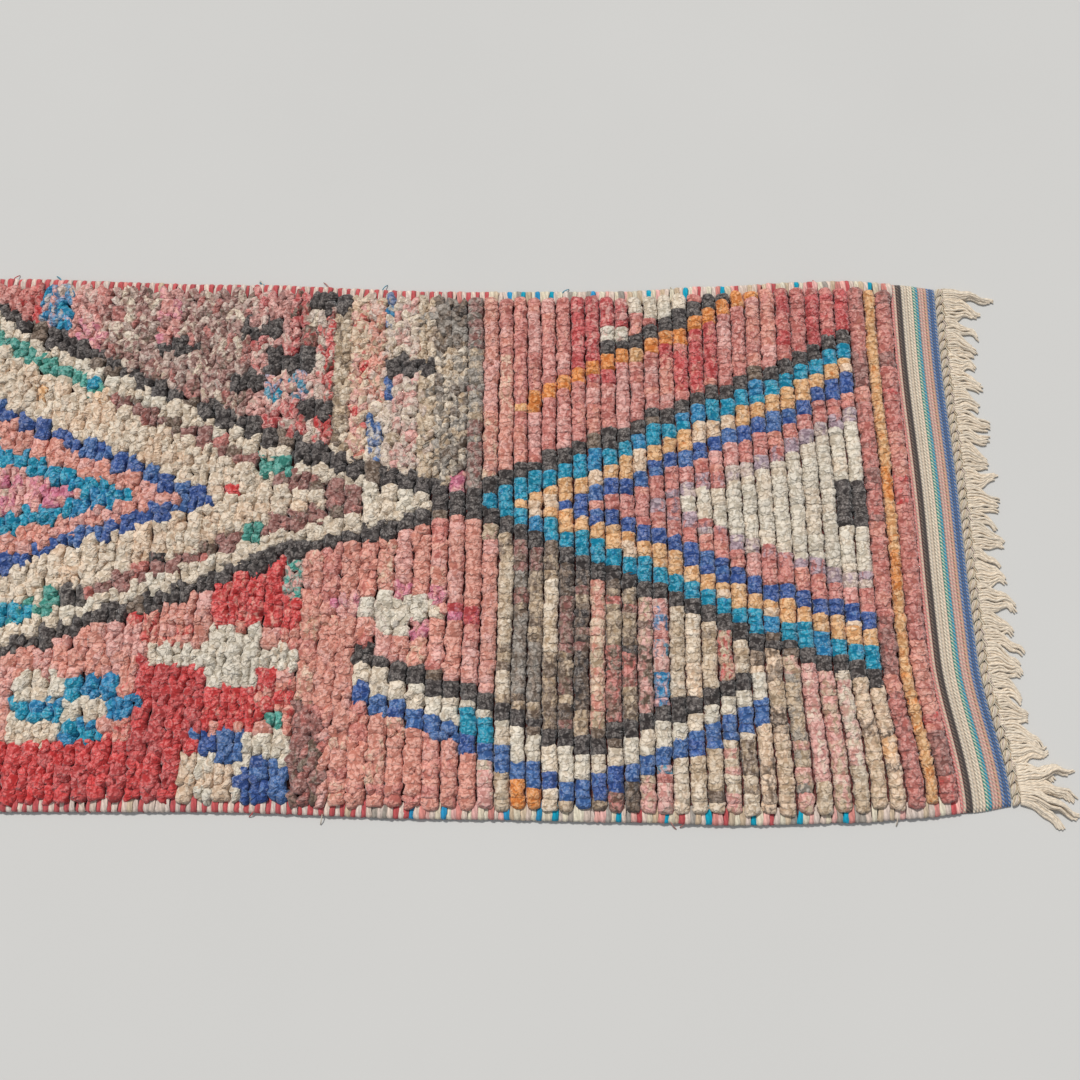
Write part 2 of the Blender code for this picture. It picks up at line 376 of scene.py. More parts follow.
    UPPER_RIGHT = (
        Patch(-68, -30, 60, 380, spin(Dye.SALMON, 0.46, Dye.ROSE, Dye.PINK, Dye.PEACH_CREAM)),
        Patch(40, 112, 215, 380, spin(Dye.DEEP_ROSE, 0.45, Dye.PINK)),
        Patch(150, 235, 195, 292, spin(Dye.DEEP_ROSE, 0.40, Dye.SALMON)),
        Patch(300, 400, 250, 380, spin(Dye.ROSE, 0.35, Dye.DEEP_ROSE)),
        block(97, 278, 34, 22, spin(Dye.WHITE, 0.25, Dye.PINK)),
        block(160, 318, 78, 26, spin(Dye.CREAM, 0.40, Dye.WHITE)),
    )

    LOWER_LEFT = (
        Patch(-760, -470, -380, -245, spin(Dye.CORAL, 0.30, Dye.DEEP_ROSE)),
        Patch(-640, -480, -180, -100, spin(Dye.SALMON, 0.40, Dye.PINK)),
        Patch(-480, -400, -310, -140, spin(Dye.CORAL, 0.45, Dye.DEEP_ROSE)),
        Patch(-400, -292, -105, 10, spin(Dye.CORAL, 0.35, Dye.SALMON)),
        Patch(-400, -300, -225, -150, spin(Dye.CORAL, 0.25, Dye.SALMON)),
        Patch(-335, -255, -225, -175, spin(Dye.SALMON, 0.35, Dye.CORAL)),
        Patch(-760, -400, -380, -305, spin(Dye.SALMON, 0.35, Dye.CREAM)),
        Patch(-306, -284, -75, -25, spin(Dye.JADE, 0.50, Dye.PINK)),
        *patches(spin(Dye.WHITE, 0.30, Dye.CREAM), (-465, -395, -156, -130), (-625, -560, -192, -165)),
        Patch(-395, -335, -182, -108, spin(Dye.WHITE, 0.25, Dye.CREAM)),
        Patch(-335, -258, -160, -130, spin(Dye.WHITE, 0.40, Dye.PEACH_CREAM)),
        *patches(
            spin(Dye.SKY, 0.30, Dye.TURQUOISE),
            (-560, -500, -192, -168), (-503, -470, -216, -194), (-563, -508, -242, -216),
        ),
        Patch(-625, -563, -216, -192, spin(Dye.TURQUOISE, 0.30, Dye.SKY)),
        Patch(-563, -503, -216, -192, spin(Dye.CREAM, 0.30, Dye.WHITE)),
        Patch(-625, -563, -242, -216, spin(Dye.CREAM, 0.30, Dye.PEACH_CREAM)),
        *patches(spin(Dye.DENIM, 0.30, Dye.ROYAL), (-405, -344, -262, -231), (-346, -278, -307, -266)),
        Patch(-344, -280, -266, -231, spin(Dye.WHITE, 0.40, Dye.CREAM)),
        Patch(-412, -346, -307, -262, spin(Dye.PEACH_CREAM, 0.35, Dye.WHITE)),
        block(-308, -218, 26, 22, spin(Dye.JADE, 0.0)),
    )

    LOWER_MIDDLE = (
        Patch(-290, -252, -380, -195, spin(Dye.MAUVE, 0.50, Dye.ROSE, Dye.BROWN_MARL)),
        Patch(-74, -52, -240, 20, spin(Dye.PINK, 0.45, Dye.BEIGE, Dye.SALMON)),
        Patch(-76, -52, -380, -258, spin(Dye.CREAM, 0.45, Dye.PINK)),
        Patch(-254, -216, -98, -68, spin(Dye.PINK, 0.50, Dye.MAGENTA)),
        Patch(-216, -190, -100, -68, spin(Dye.WHITE, 0.50, Dye.GREY, Dye.BLUSH)),
        Patch(-190, -124, -98, -66, spin(Dye.WHITE, 0.35, Dye.CREAM)),
        Patch(-192, -166, -120, -94, spin(Dye.WHITE, 0.50, Dye.GREY, Dye.BLUSH)),
        *patches(spin(Dye.PINK, 0.60, Dye.MAGENTA), (-182, -160, -68, -52), (-142, -119, -74, -52)),
        Patch(-166, -140, -120, -98, spin(Dye.MAGENTA, 0.50, Dye.PINK)),
        Patch(-124, -104, -104, -78, spin(Dye.PINK, 0.50, Dye.SALMON)),
        Patch(-104, -82, -102, -80, spin(Dye.MAGENTA, 0.40, Dye.DEEP_ROSE)),
    )

    LOWER_RIGHT = (
        *stripes(
            (-52, -380, 40),
            (-28, spin(Dye.BEIGE, 0.60, Dye.BROWN_MARL, Dye.CREAM)),
            (-4, spin(Dye.BROWN_MARL, 0.60, Dye.GREY, Dye.MAUVE, Dye.BEIGE)),
            (20, spin(Dye.BEIGE, 0.64, Dye.BROWN_MARL, Dye.CREAM)),
            (62, spin(Dye.BROWN_MARL, 0.64, Dye.BEIGE, Dye.CHARCOAL, Dye.MAUVE)),
        ),
        *stripes(
            (84, -380, 40),
            (122, spin(Dye.BROWN_MARL, 0.66, Dye.ROSE, Dye.BEIGE, Dye.CHARCOAL)),
            (140, spin(Dye.PINK, 0.64, Dye.BEIGE, Dye.BROWN_MARL)),
            (160, spin(Dye.PINK, 0.66, Dye.TURQUOISE, Dye.BLUSH, Dye.SKY, Dye.ROSE)),
            (194, spin(Dye.CREAM, 0.50, Dye.BEIGE, Dye.PEACH_CREAM)),
            (215, spin(Dye.BEIGE, 0.55, Dye.CREAM, Dye.BROWN_MARL)),
            (237, spin(Dye.BEIGE, 0.55, Dye.CREAM, Dye.PINK)),
            (256, spin(Dye.BEIGE, 0.60, Dye.CREAM, Dye.BROWN_MARL)),
            (278, spin(Dye.PEACH_CREAM, 0.60, Dye.BEIGE, Dye.BROWN_MARL)),
            (300, spin(Dye.BEIGE, 0.60, Dye.GREY, Dye.PINK, Dye.CREAM)),
            (322, spin(Dye.BEIGE, 0.55, Dye.PINK, Dye.CREAM)),
            (342, spin(Dye.PINK, 0.58, Dye.BEIGE, Dye.CREAM)),
            (362, spin(Dye.CREAM, 0.58, Dye.BEIGE, Dye.PINK)),
            (396, spin(Dye.PEACH_CREAM, 0.60, Dye.BEIGE, Dye.APRICOT, Dye.BROWN_MARL)),
        ),
        Patch(62, 84, -240, 40, spin(Dye.SALMON, 0.50, Dye.PEACH_CREAM, Dye.BEIGE)),
        Patch(215, 237, -180, -95, spin(Dye.DEEP_ROSE, 0.64, Dye.BROWN_MARL, Dye.BEIGE)),
        Patch(300, 322, -290, -140, spin(Dye.PINK, 0.45, Dye.CREAM)),
        Patch(396, 430, -340, -200, spin(Dye.BROWN_MARL, 0.50, Dye.CHARCOAL, Dye.BEIGE)),
        block(384, -288, 13, 20, spin(Dye.DENIM, 0.30, Dye.ROYAL)),
    )

    ACCENTS = (
        block(-328, 98, 44, 22, spin(Dye.JADE, 0.0)),
        block(-352, 10, 22, 26, spin(Dye.JADE, 0.0)),
        block(-586, -72, 24, 22, spin(Dye.JADE, 0.0)),
        block(-632, -92, 42, 24, spin(Dye.TURQUOISE, 0.40, Dye.JADE)),
        block(-560, -66, 26, 20, spin(Dye.GREY, 0.40, Dye.CHARCOAL)),
        block(-464, -30, 22, 22, spin(Dye.CHARCOAL, 0.20, Dye.MAUVE)),
        block(-386, 72, 10, 14, spin(Dye.CORAL, 0.0)),
        block(-640, 200, 24, 20, spin(Dye.APRICOT, 0.45, Dye.CREAM)),
        block(-560, 190, 22, 20, spin(Dye.PEACH_CREAM, 0.45, Dye.APRICOT)),
        block(390, 51, 40, 54, spin(Dye.CHARCOAL, 0.15, Dye.BROWN_MARL)),
    )

    TURNED_OVER = {
        Dye.CORAL: Dye.DEEP_ROSE,
        Dye.DEEP_ROSE: Dye.ROSE,
        Dye.DENIM: Dye.TURQUOISE,
        Dye.SKY: Dye.DENIM,
        Dye.ROSE: Dye.SALMON,
        Dye.BROWN_MARL: Dye.MAUVE,
    }

    def yarn_at(self, x: float, y: float) -> Yarn:
        """Choose the yarn of one knot.

        Args:
            x: The knot's place along the runner, in metres.
            y: Its place across the runner, in metres.

        Returns:
            The yarn that the weaver ties there.
        """
        along = (x - self.ORIGIN.x) * self.CREST_SCALE
        across = (y - self.ORIGIN.y) * self.CREST_SCALE
        if along >= self.TURN:
            return self._motif(along, across) or self._ground(along, across)
        along = 2.0 * self.TURN - along
        found = self._motif(along, across)
        if found:
            return found
        ground = self._ground(along, -across)
        main = self.TURNED_OVER.get(ground.main, ground.main)
        return Yarn(main, ground.share, tuple(self.TURNED_OVER.get(dye, dye) for dye in ground.others))

    @staticmethod
    def _inside(upper: Sequence[Bend], lower: Sequence[Bend], x: float, y: float) -> float:
        """Find how far a place lies inside two woven lines; below 0 it lies outside."""
        return min(height_of(upper, x) - y, y - height_of(lower, x))

    def _motif(self, x: float, y: float) -> Optional[Yarn]:
        """Choose the yarn where a lozenge or the border covers the ground.

        Args:
            x: The knot's place along the chart.
            y: Its place across the chart.

        Returns:
            The yarn, or None where the ground shows.
        """
        if x > self.BORDER:
            return next(yarn for limit, yarn in self.BORDER_RIBS if x < limit)
        for patch in self.ACCENTS:
            if patch.left <= x < patch.right and patch.low <= y < patch.high:
                return patch.yarn
        if x < self.LOZENGE_UPPER[-1].x:
            return self._lozenge(x, y)
        return self._half_lozenge(x, y)

    def _lozenge(self, x: float, y: float) -> Optional[Yarn]:
        """Choose the yarn of the big lozenge, from its dark outline inwards.

        Args:
            x: The knot's place along the chart.
            y: Its place across the chart.

        Returns:
            The yarn, or None outside the lozenge.
        """
        inside = self._inside(self.LOZENGE_UPPER, self.LOZENGE_LOWER, x, y)
        if inside < -self.OUTLINE_OUT:
            return None
        if inside < self.OUTLINE_IN:
            return self.OUTLINE
        chevron = self._inside(self.CHEVRON_UPPER, self.CHEVRON_LOWER, x, y)
        if x < self.CHEVRON_UPPER[-1].x + 1.0 and chevron > -self.CHEVRON_OUT:
            return self._heart(x, y, chevron)
        if inside < self.BAND_INNER or x > self.BAND_END:
            return spin(Dye.CREAM, 0.35, Dye.WHITE)
        if inside < self.BAND_OUTER:
            jade = spin(Dye.JADE, 0.14, Dye.TURQUOISE)
            return jade if x < self.JADE_END else spin(Dye.MAUVE, 0.34, Dye.BROWN_MARL, Dye.ROSE)
        return spin(Dye.CREAM, 0.40, Dye.PEACH_CREAM)

    def _heart(self, x: float, y: float, chevron: float) -> Yarn:
        """Choose the yarn inside the blue chevron.

        Args:
            x: The knot's place along the chart.
            y: Its place across the chart.
            chevron: How far it lies inside the chevron's line.

        Returns:
            The yarn.
        """
        if chevron < self.CHEVRON_IN:
            return spin(Dye.ROYAL, 0.30, Dye.DENIM)
        heart = self._inside(self.HEART_UPPER, self.HEART_LOWER, x, y)
        if x > self.HEART_UPPER[-1].x + 8.0 or heart < -self.OUTLINE_OUT:
            return spin(Dye.SALMON, 0.45, Dye.PINK)
        if heart < self.HEART_IN:
            return spin(Dye.TURQUOISE, 0.40, Dye.SKY)
        if heart < self.HEART_CORE:
            return spin(Dye.PINK, 0.45, Dye.MAGENTA)
        return spin(Dye.CREAM, 0.40, Dye.PINK)

    def _half_lozenge(self, x: float, y: float) -> Optional[Yarn]:
        """Choose the yarn of the half lozenge that opens toward the fringe.

        Args:
            x: The knot's place along the chart.
            y: Its place across the chart.

        Returns:
            The yarn, or None outside the half lozenge.
        """
        inside = self._inside(self.HALF_UPPER, self.HALF_LOWER, x, y)
        if inside < -self.OUTLINE_OUT:
            return None
        return next(yarn for limit, yarn in self.HALF_BANDS if inside < limit)

    def _ground(self, x: float, y: float) -> Yarn:
        """Choose the yarn of the ground round the lozenges.

        Args:
            x: The knot's place along the chart.
            y: Its place across the chart.

        Returns:
            The yarn.
        """
        if y > self.MIDDLE:
            return self._sunbeam(x, y) or self._upper_ground(x, y)
        zigzag = self._zigzag(x, y)
        if zigzag:
            return zigzag
        if x < self.RED_END:
            return self._last(self.LOWER_LEFT, x, y, spin(Dye.SALMON, 0.45, Dye.CORAL, Dye.PINK))
        if x < self.SALMON_END:
            plain = spin(Dye.SALMON, 0.46, Dye.ROSE, Dye.PINK, Dye.SALMON, Dye.PEACH_CREAM)
            return self._last(self.LOWER_MIDDLE, x, y, plain)
        return self._last(self.LOWER_RIGHT, x, y, spin(Dye.BEIGE, 0.55, Dye.BROWN_MARL))

    def _sunbeam(self, x: float, y: float) -> Optional[Yarn]:
        """Choose the yarn of the orange line over the half lozenge and of the dark line over that.

        Args:
            x: The knot's place along the chart.
            y: Its place across the chart.

        Returns:
            The yarn, or None beside the two lines.
        """
        beam = abs(y - height_of(self.SUNBEAM, x))
        if beam < self.SUNBEAM_HALF and self.SUNBEAM_START < x < self.SUNBEAM[-1].x:
            return spin(Dye.ORANGE, 0.25, Dye.APRICOT)
        shade = abs(y - height_of(self.SUNBEAM_SHADE, x))
        if shade < self.OUTLINE_IN and self.SHADE_START < x < self.SUNBEAM_SHADE[-1].x:
            return spin(Dye.CHARCOAL, 0.0)
        return None

    def _upper_ground(self, x: float, y: float) -> Yarn:
        """Choose the yarn of the ground above the lozenges: marled wool first, then rose.

        Args:
            x: The knot's place along the chart.
            y: Its place across the chart.

        Returns:
            The yarn.
        """
        if x < self.MARL_END:
            marl = spin(Dye.MAUVE, 0.74, Dye.BLUSH, Dye.CREAM, Dye.BROWN_MARL, Dye.BLUSH, Dye.ROSE)
            return self._last(self.UPPER_LEFT, x, y, marl)
        return self._last(self.UPPER_RIGHT, x, y, spin(Dye.ROSE, 0.48, Dye.SALMON, Dye.PINK))

    def _zigzag(self, x: float, y: float) -> Optional[Yarn]:
        """Choose the yarn of the zigzag under the lozenges: dark, then white, then blue.

        Args:
            x: The knot's place along the chart.
            y: Its place across the chart.

        Returns:
            The yarn, or None beside the zigzag.
        """
        blue = height_of(self.ZIGZAG_BLUE, x)
        if self.ZIGZAG[0].x < x < self.ZIGZAG[-1].x + self.BLUE_RUN_ON and y > blue - self.BLUE_OUT:
            from_dark = height_of(self.ZIGZAG, x) - y
            if abs(from_dark) < self.OUTLINE_IN and x < self.ZIGZAG[-1].x:
                return self.OUTLINE
            if from_dark > 0.0 and y < blue + self.BLUE_IN:
                return spin(Dye.DENIM, 0.35, Dye.ROYAL)
            if from_dark > 0.0:
                teal = abs(x + 68.0) < 15.0 and y < blue + 36.0
                return spin(Dye.TURQUOISE, 0.2, Dye.SKY) if teal else spin(Dye.WHITE, 0.40, Dye.CREAM)
        if abs(x + 14.0) < self.ORANGE_HALF and y < self.ORANGE_TOP:
            return spin(Dye.ORANGE, 0.30, Dye.APRICOT)
        return None

    @staticmethod
    def _last(patches: Sequence[Patch], x: float, y: float, plain: Yarn) -> Yarn:
        """Choose the yarn of the last patch that covers a place, or the plain yarn."""
        over = [p.yarn for p in patches if p.left <= x < p.right and p.low <= y < p.high]
        return over[-1] if over else plain


class Wire:
    """A node's output, on which Python's operators add Math nodes."""

    def __init__(self, graph: "Graph", socket: bpy.types.NodeSocket) -> None:
        """Keep the socket and the graph it belongs to."""
        self.graph = graph
        self.socket = socket

    def __add__(self, other: "Value") -> "Wire":
        """Add."""
        return self.graph.math("ADD", self, other)

    def __radd__(self, other: "Value") -> "Wire":
        """Add to a plain number."""
        return self.graph.math("ADD", other, self)

    def __sub__(self, other: "Value") -> "Wire":
        """Subtract."""
        return self.graph.math("SUBTRACT", self, other)

    def __rsub__(self, other: "Value") -> "Wire":
        """Subtract from a plain number."""
        return self.graph.math("SUBTRACT", other, self)

    def __mul__(self, other: "Value") -> "Wire":
        """Multiply."""
        return self.graph.math("MULTIPLY", self, other)

    def __rmul__(self, other: "Value") -> "Wire":
        """Multiply a plain number."""
        return self.graph.math("MULTIPLY", other, self)

    def sine(self) -> "Wire":
        """Take the sine."""
        return self.graph.math("SINE", self)

    def wave(self) -> "Wire":
        """Swing from 0 to 1 and back as the value runs through a full turn."""
        return (self.sine() + 1.0) * 0.5

    def band(self, low: float, high: float) -> "Wire":
        """Rise smoothly from 0 to 1.

        Args:
            low: Where it is still 0.
            high: Where it gets to 1.

        Returns:
            The risen value.
        """
        settings = {"interpolation_type": "SMOOTHSTEP"}
        sockets = {"Value": self, "From Min": low, "From Max": high}
        return self.graph.node("ShaderNodeMapRange", settings, sockets).out("Result")


Value = Union[Wire, float, int]


class Part:
    """A node in a graph, from which outputs are taken by name or number."""

    def __init__(self, graph: "Graph", node: bpy.types.Node) -> None:
        """Keep the node and the graph it belongs to."""
        self.graph = graph
        self.node = node

    def out(self, name: Union[str, int] = 0) -> Wire:
        """Take one output."""
        return Wire(self.graph, self.node.outputs[name])


class Graph:
    """A node tree, for a finish or for shapes."""

    def __init__(self, tree: bpy.types.NodeTree) -> None:
        """Start from an empty tree."""
        self.tree = tree
        tree.nodes.clear()

    def node(self, kind: str, settings: Optional[dict] = None, sockets: Optional[dict] = None) -> Part:
        """Add a node.

        Args:
            kind: The node's type.
            settings: Its own settings, which are set before its sockets.
            sockets: A plain value, a wire or a list of wires for each input, by name or number.

        Returns:
            The node.
        """
        made = self.tree.nodes.new(kind)
        for name, value in (settings or {}).items():
            setattr(made, name, value)
        for name, value in (sockets or {}).items():
            for one in value if isinstance(value, list) else [value]:
                if isinstance(one, Wire):
                    self.tree.links.new(one.socket, made.inputs[name])
                else:
                    made.inputs[name].default_value = one
        return Part(self, made)

    def math(self, operation: str, *values: Value) -> Wire:
        """Add a Math node for one operation on wires and numbers."""
        sockets = dict(enumerate(values))
        return self.node("ShaderNodeMath", {"operation": operation}, sockets).out()

    def axis(self, name: str, where: Wire) -> Wire:
        """Take X, Y or Z of a place."""
        return self.node("ShaderNodeSeparateXYZ", None, {0: where}).out(name)

    def vector(self, operation: str, *values: Any) -> Wire:
        """Add a Vector Math node for one operation on places."""
        return self.node("ShaderNodeVectorMath", {"operation": operation}, dict(enumerate(values))).out()

    def mix(self, factor: Value, first: Any, second: Any, blend: str = "MIX") -> Wire:
        """Mix two colours, given as wires or as four numbers."""
        settings = {"data_type": "RGBA", "blend_type": blend}
        return self.node("ShaderNodeMix", settings, {0: factor, 6: first, 7: second}).out(2)

    def grey(self, value: Value) -> Wire:
        """Make a grey colour from a number."""
        sockets = {"Red": value, "Green": value, "Blue": value}
        return self.node("ShaderNodeCombineColor", None, sockets).out()

    def noise(self, where: Wire, scale: Value, detail: float = 2.0, output: Union[str, int] = 0) -> Wire:
        """Read a noise pattern at a place, from 0 to 1."""
        sockets = {"Vector": where, "Scale": scale, "Detail": detail}
        return self.node("ShaderNodeTexNoise", None, sockets).out(output)


class Surface(Graph):
    """A material's node tree, with what every finish reads and what it ends in."""

    def __init__(self, name: str) -> None:
        """Start the material, whose patterns follow a point's own place on the piece.

        Args:
            name: The material's name.
        """
        self.material = bpy.data.materials.new(name)
        self.material.use_nodes = True
        super().__init__(self.material.node_tree)
        self.where = self.node("ShaderNodeTexCoord").out("Object")

    def amount(self, name: str) -> Wire:
        """Read a number that the surface carries."""
        return self.node("ShaderNodeAttribute", {"attribute_name": name}).out("Fac")

    def dye(self, name: str) -> Wire:
        """Read a colour that the surface carries."""
        return self.node("ShaderNodeAttribute", {"attribute_name": name}).out("Color")

    def shade(self, color: Any, light: Wire) -> Wire:
        """Darken or lighten a colour by a number."""
        return self.mix(1.0, color, self.grey(light), "MULTIPLY")

    def end(self, sockets: dict[str, Any], relief: Optional[dict[str, Any]] = None) -> bpy.types.Material:
        """End the tree in a surface.

        Args:
            sockets: The surface's inputs by name.
            relief: The strength, distance and height of its bump, where it has one.

        Returns:
            The material.
        """
        if relief:
            sockets = {**sockets, "Normal": self.node("ShaderNodeBump", None, relief).out()}
        surface = self.node("ShaderNodeBsdfPrincipled", None, sockets)
        self.node("ShaderNodeOutputMaterial", None, {"Surface": surface.out()})
        return self.material


class ShapeTree(Graph):
    """A Geometry Nodes tree with named inputs, which is run once and leaves a plain mesh."""

    def __init__(self, name: str) -> None:
        """Start a tree that takes and gives one geometry.

        Args:
            name: The tree's name.
        """
        super().__init__(bpy.data.node_groups.new(name, "GeometryNodeTree"))
        self.identifiers: dict[str, str] = {}
        self.entry = self.tree.nodes.new("NodeGroupInput")
        self.geometry = self.input("Geometry", "NodeSocketGeometry")
        self.tree.interface.new_socket("Geometry", in_out="OUTPUT", socket_type="NodeSocketGeometry")

    def input(self, name: str, kind: str) -> Wire:
        """Add a named input.

        Args:
            name: The input's name.
            kind: The type of its socket.

        Returns:
            Its wire.
        """
        made = self.tree.interface.new_socket(name, in_out="INPUT", socket_type=kind)
        self.identifiers[name] = made.identifier
        return Wire(self, self.entry.outputs[name])

    def scale_and_size(self, name: str) -> tuple[Wire, Wire]:
        """Add the two inputs of a roughness."""
        return self.input(f"{name} scale", "NodeSocketFloat"), self.input(f"{name} size", "NodeSocketFloat")

    def named(self, name: str, kind: str) -> Wire:
        """Read a named attribute of the geometry."""
        return self.node("GeometryNodeInputNamedAttribute", {"data_type": kind}, {"Name": name}).out()

    def roughen(self, shape: Wire, scale: Wire, size: Wire, share: Value = 1.0) -> Wire:
        """Push a shape's points about by a noise.

        Args:
            shape: The geometry.
            scale: How many lumps there are to a metre.
            size: How far the points move at most.
            share: How much of that each point moves.

        Returns:
            The lumpy geometry.
        """
        where = self.node("GeometryNodeInputPosition").out()
        centred = self.vector("SUBTRACT", self.noise(where, scale, 0.0, "Color"), (0.5, 0.5, 0.5))
        amount = {0: centred, "Scale": size * 2.0 * share}
        push = self.node("ShaderNodeVectorMath", {"operation": "SCALE"}, amount).out()
        return self.node("GeometryNodeSetPosition", None, {"Geometry": shape, "Offset": push}).out()

    def on_points(self, form: Wire, picked: Optional[dict[str, Any]] = None) -> Wire:
        """Set a form on every point of the geometry, turned and scaled as the point says.

        Args:
            form: The form, or the forms to pick from.
            picked: The inputs that pick one of them for each point.

        Returns:
            Real geometry.
        """
        sockets = {
            "Points": self.geometry,
            "Instance": form,
            "Rotation": self.named("turn", "FLOAT_VECTOR"),
            "Scale": self.named("size", "FLOAT_VECTOR"),
            **(picked or {}),
        }
        placed = self.node("GeometryNodeInstanceOnPoints", None, sockets).out()
        return self.node("GeometryNodeRealizeInstances", None, {"Geometry": placed}).out()

    def close(self, geometry: Wire, material: Wire) -> None:
        """End the tree with real geometry that lies on the floor, smooth and in its material.

        Args:
            geometry: The geometry, which may still hold instances.
            material: The wire that brings the material.
        """
        real = self.node("GeometryNodeRealizeInstances", None, {"Geometry": geometry}).out()
        place = self.node("ShaderNodeSeparateXYZ", None, {0: self.node("GeometryNodeInputPosition").out()})
        height = self.math("MAXIMUM", place.out("Z"), FLOOR_GAP)
        sockets = {"X": place.out("X"), "Y": place.out("Y"), "Z": height}
        raised = self.node("ShaderNodeCombineXYZ", None, sockets).out()
        real = self.node("GeometryNodeSetPosition", None, {"Geometry": real, "Position": raised}).out()
        shading = {"Geometry": real, "Shade Smooth": True}
        shaded = self.node("GeometryNodeSetShadeSmooth", None, shading).out()
        dressed = self.node("GeometryNodeSetMaterial", None, {"Geometry": shaded, "Material": material})
        self.node("NodeGroupOutput", None, {"Geometry": dressed.out()})

    def run(self, name: str, carrier: bpy.types.ID, values: dict[str, Any]) -> bpy.types.Object:
        """Run the tree on a carrier and keep the result as a plain mesh.

        Args:
            name: The finished piece's name.
            carrier: The mesh or curve data that the tree starts from.
            values: A value for each named input.

        Returns:
            The finished piece, with no modifier.
        """
        holder = bpy.data.objects.new(f"{name}.carrier", carrier)
        bpy.context.scene.collection.objects.link(holder)
        modifier = holder.modifiers.new("shape", "NODES")
        modifier.node_group = self.tree
        for key, value in values.items():
            modifier[self.identifiers[key]] = value
        depsgraph = bpy.context.evaluated_depsgraph_get()
        mesh = bpy.data.meshes.new_from_object(holder.evaluated_get(depsgraph), depsgraph=depsgraph)
        bpy.data.objects.remove(holder)
        mesh.name = name
        return link(name, mesh)


def link(name: str, mesh: bpy.types.Mesh) -> bpy.types.Object:
    """Put a mesh into the scene as a piece at the origin.

    Args:
        name: The piece's name.
        mesh: Its mesh.

    Returns:
        The piece.
    """
    piece = bpy.data.objects.new(name, mesh)
    bpy.context.scene.collection.objects.link(piece)
    return piece


def plain_mesh(name: str, points: Sequence[Point], faces: Sequence[Sequence[int]]) -> bpy.types.Mesh:
    """Make a mesh from points and faces.

    Args:
        name: The mesh's name.
        points: Its points.
        faces: The numbers of the points round each face.

    Returns:
        The mesh.
    """
    mesh = bpy.data.meshes.new(name)
    mesh.from_pydata([tuple(point) for point in points], [], [tuple(face) for face in faces])
    mesh.update()
    return mesh


def give(mesh: bpy.types.Mesh, name: str, kind: str, values: Sequence) -> None:
    """Store an attribute on a mesh's points.

    Args:
        mesh: The mesh or carrier.
        name: The attribute's name.
        kind: Its data type.
        values: One value for each point.
    """
    numbers = np.asarray(values, dtype=np.int32 if kind == "INT" else np.float32)
    mesh.attributes.new(name, kind, "POINT").data.foreach_set(STORED_AS[kind], numbers.ravel())


def tube_faces(rings: int, sides: int) -> list[tuple[int, ...]]:
    """List the faces of a closed tube whose rings follow each other, with flat ends.

    Args:
        rings: How many rings the tube has.
        sides: How many points each ring has.

    Returns:
        The faces, pointing out where each ring turns anticlockwise seen from its far end.
    """
    faces: list[tuple[int, ...]] = []
    for ring in range(rings - 1):
        low = ring * sides
        for side in range(sides):
            after = (side + 1) % sides
            faces.append((low + side, low + after, low + sides + after, low + sides + side))
    faces.append(tuple(reversed(range(sides))))
    last = (rings - 1) * sides
    faces.append(tuple(last + side for side in range(sides)))
    return faces


class Tones:
    """Small differences between yarns of one dye."""

    def __init__(self, seed: int) -> None:
        """Start from a fixed seed."""
        self.chance = random.Random(seed)

    def near(self, color: Sequence[float], spread: float) -> Tone:
        """Draw a colour close to another.

        Args:
            color: The dye's colour in linear light.
            spread: How far the yarns differ at most, as a share.

        Returns:
            The yarn's colour, with full alpha.
        """
        value = 1.0 + self.chance.uniform(-spread, spread)
        warm = self.chance.uniform(-spread, spread) * 0.25
        return color[0] * value * (1 + warm), color[1] * value, color[2] * value * (1 - warm), 1.0


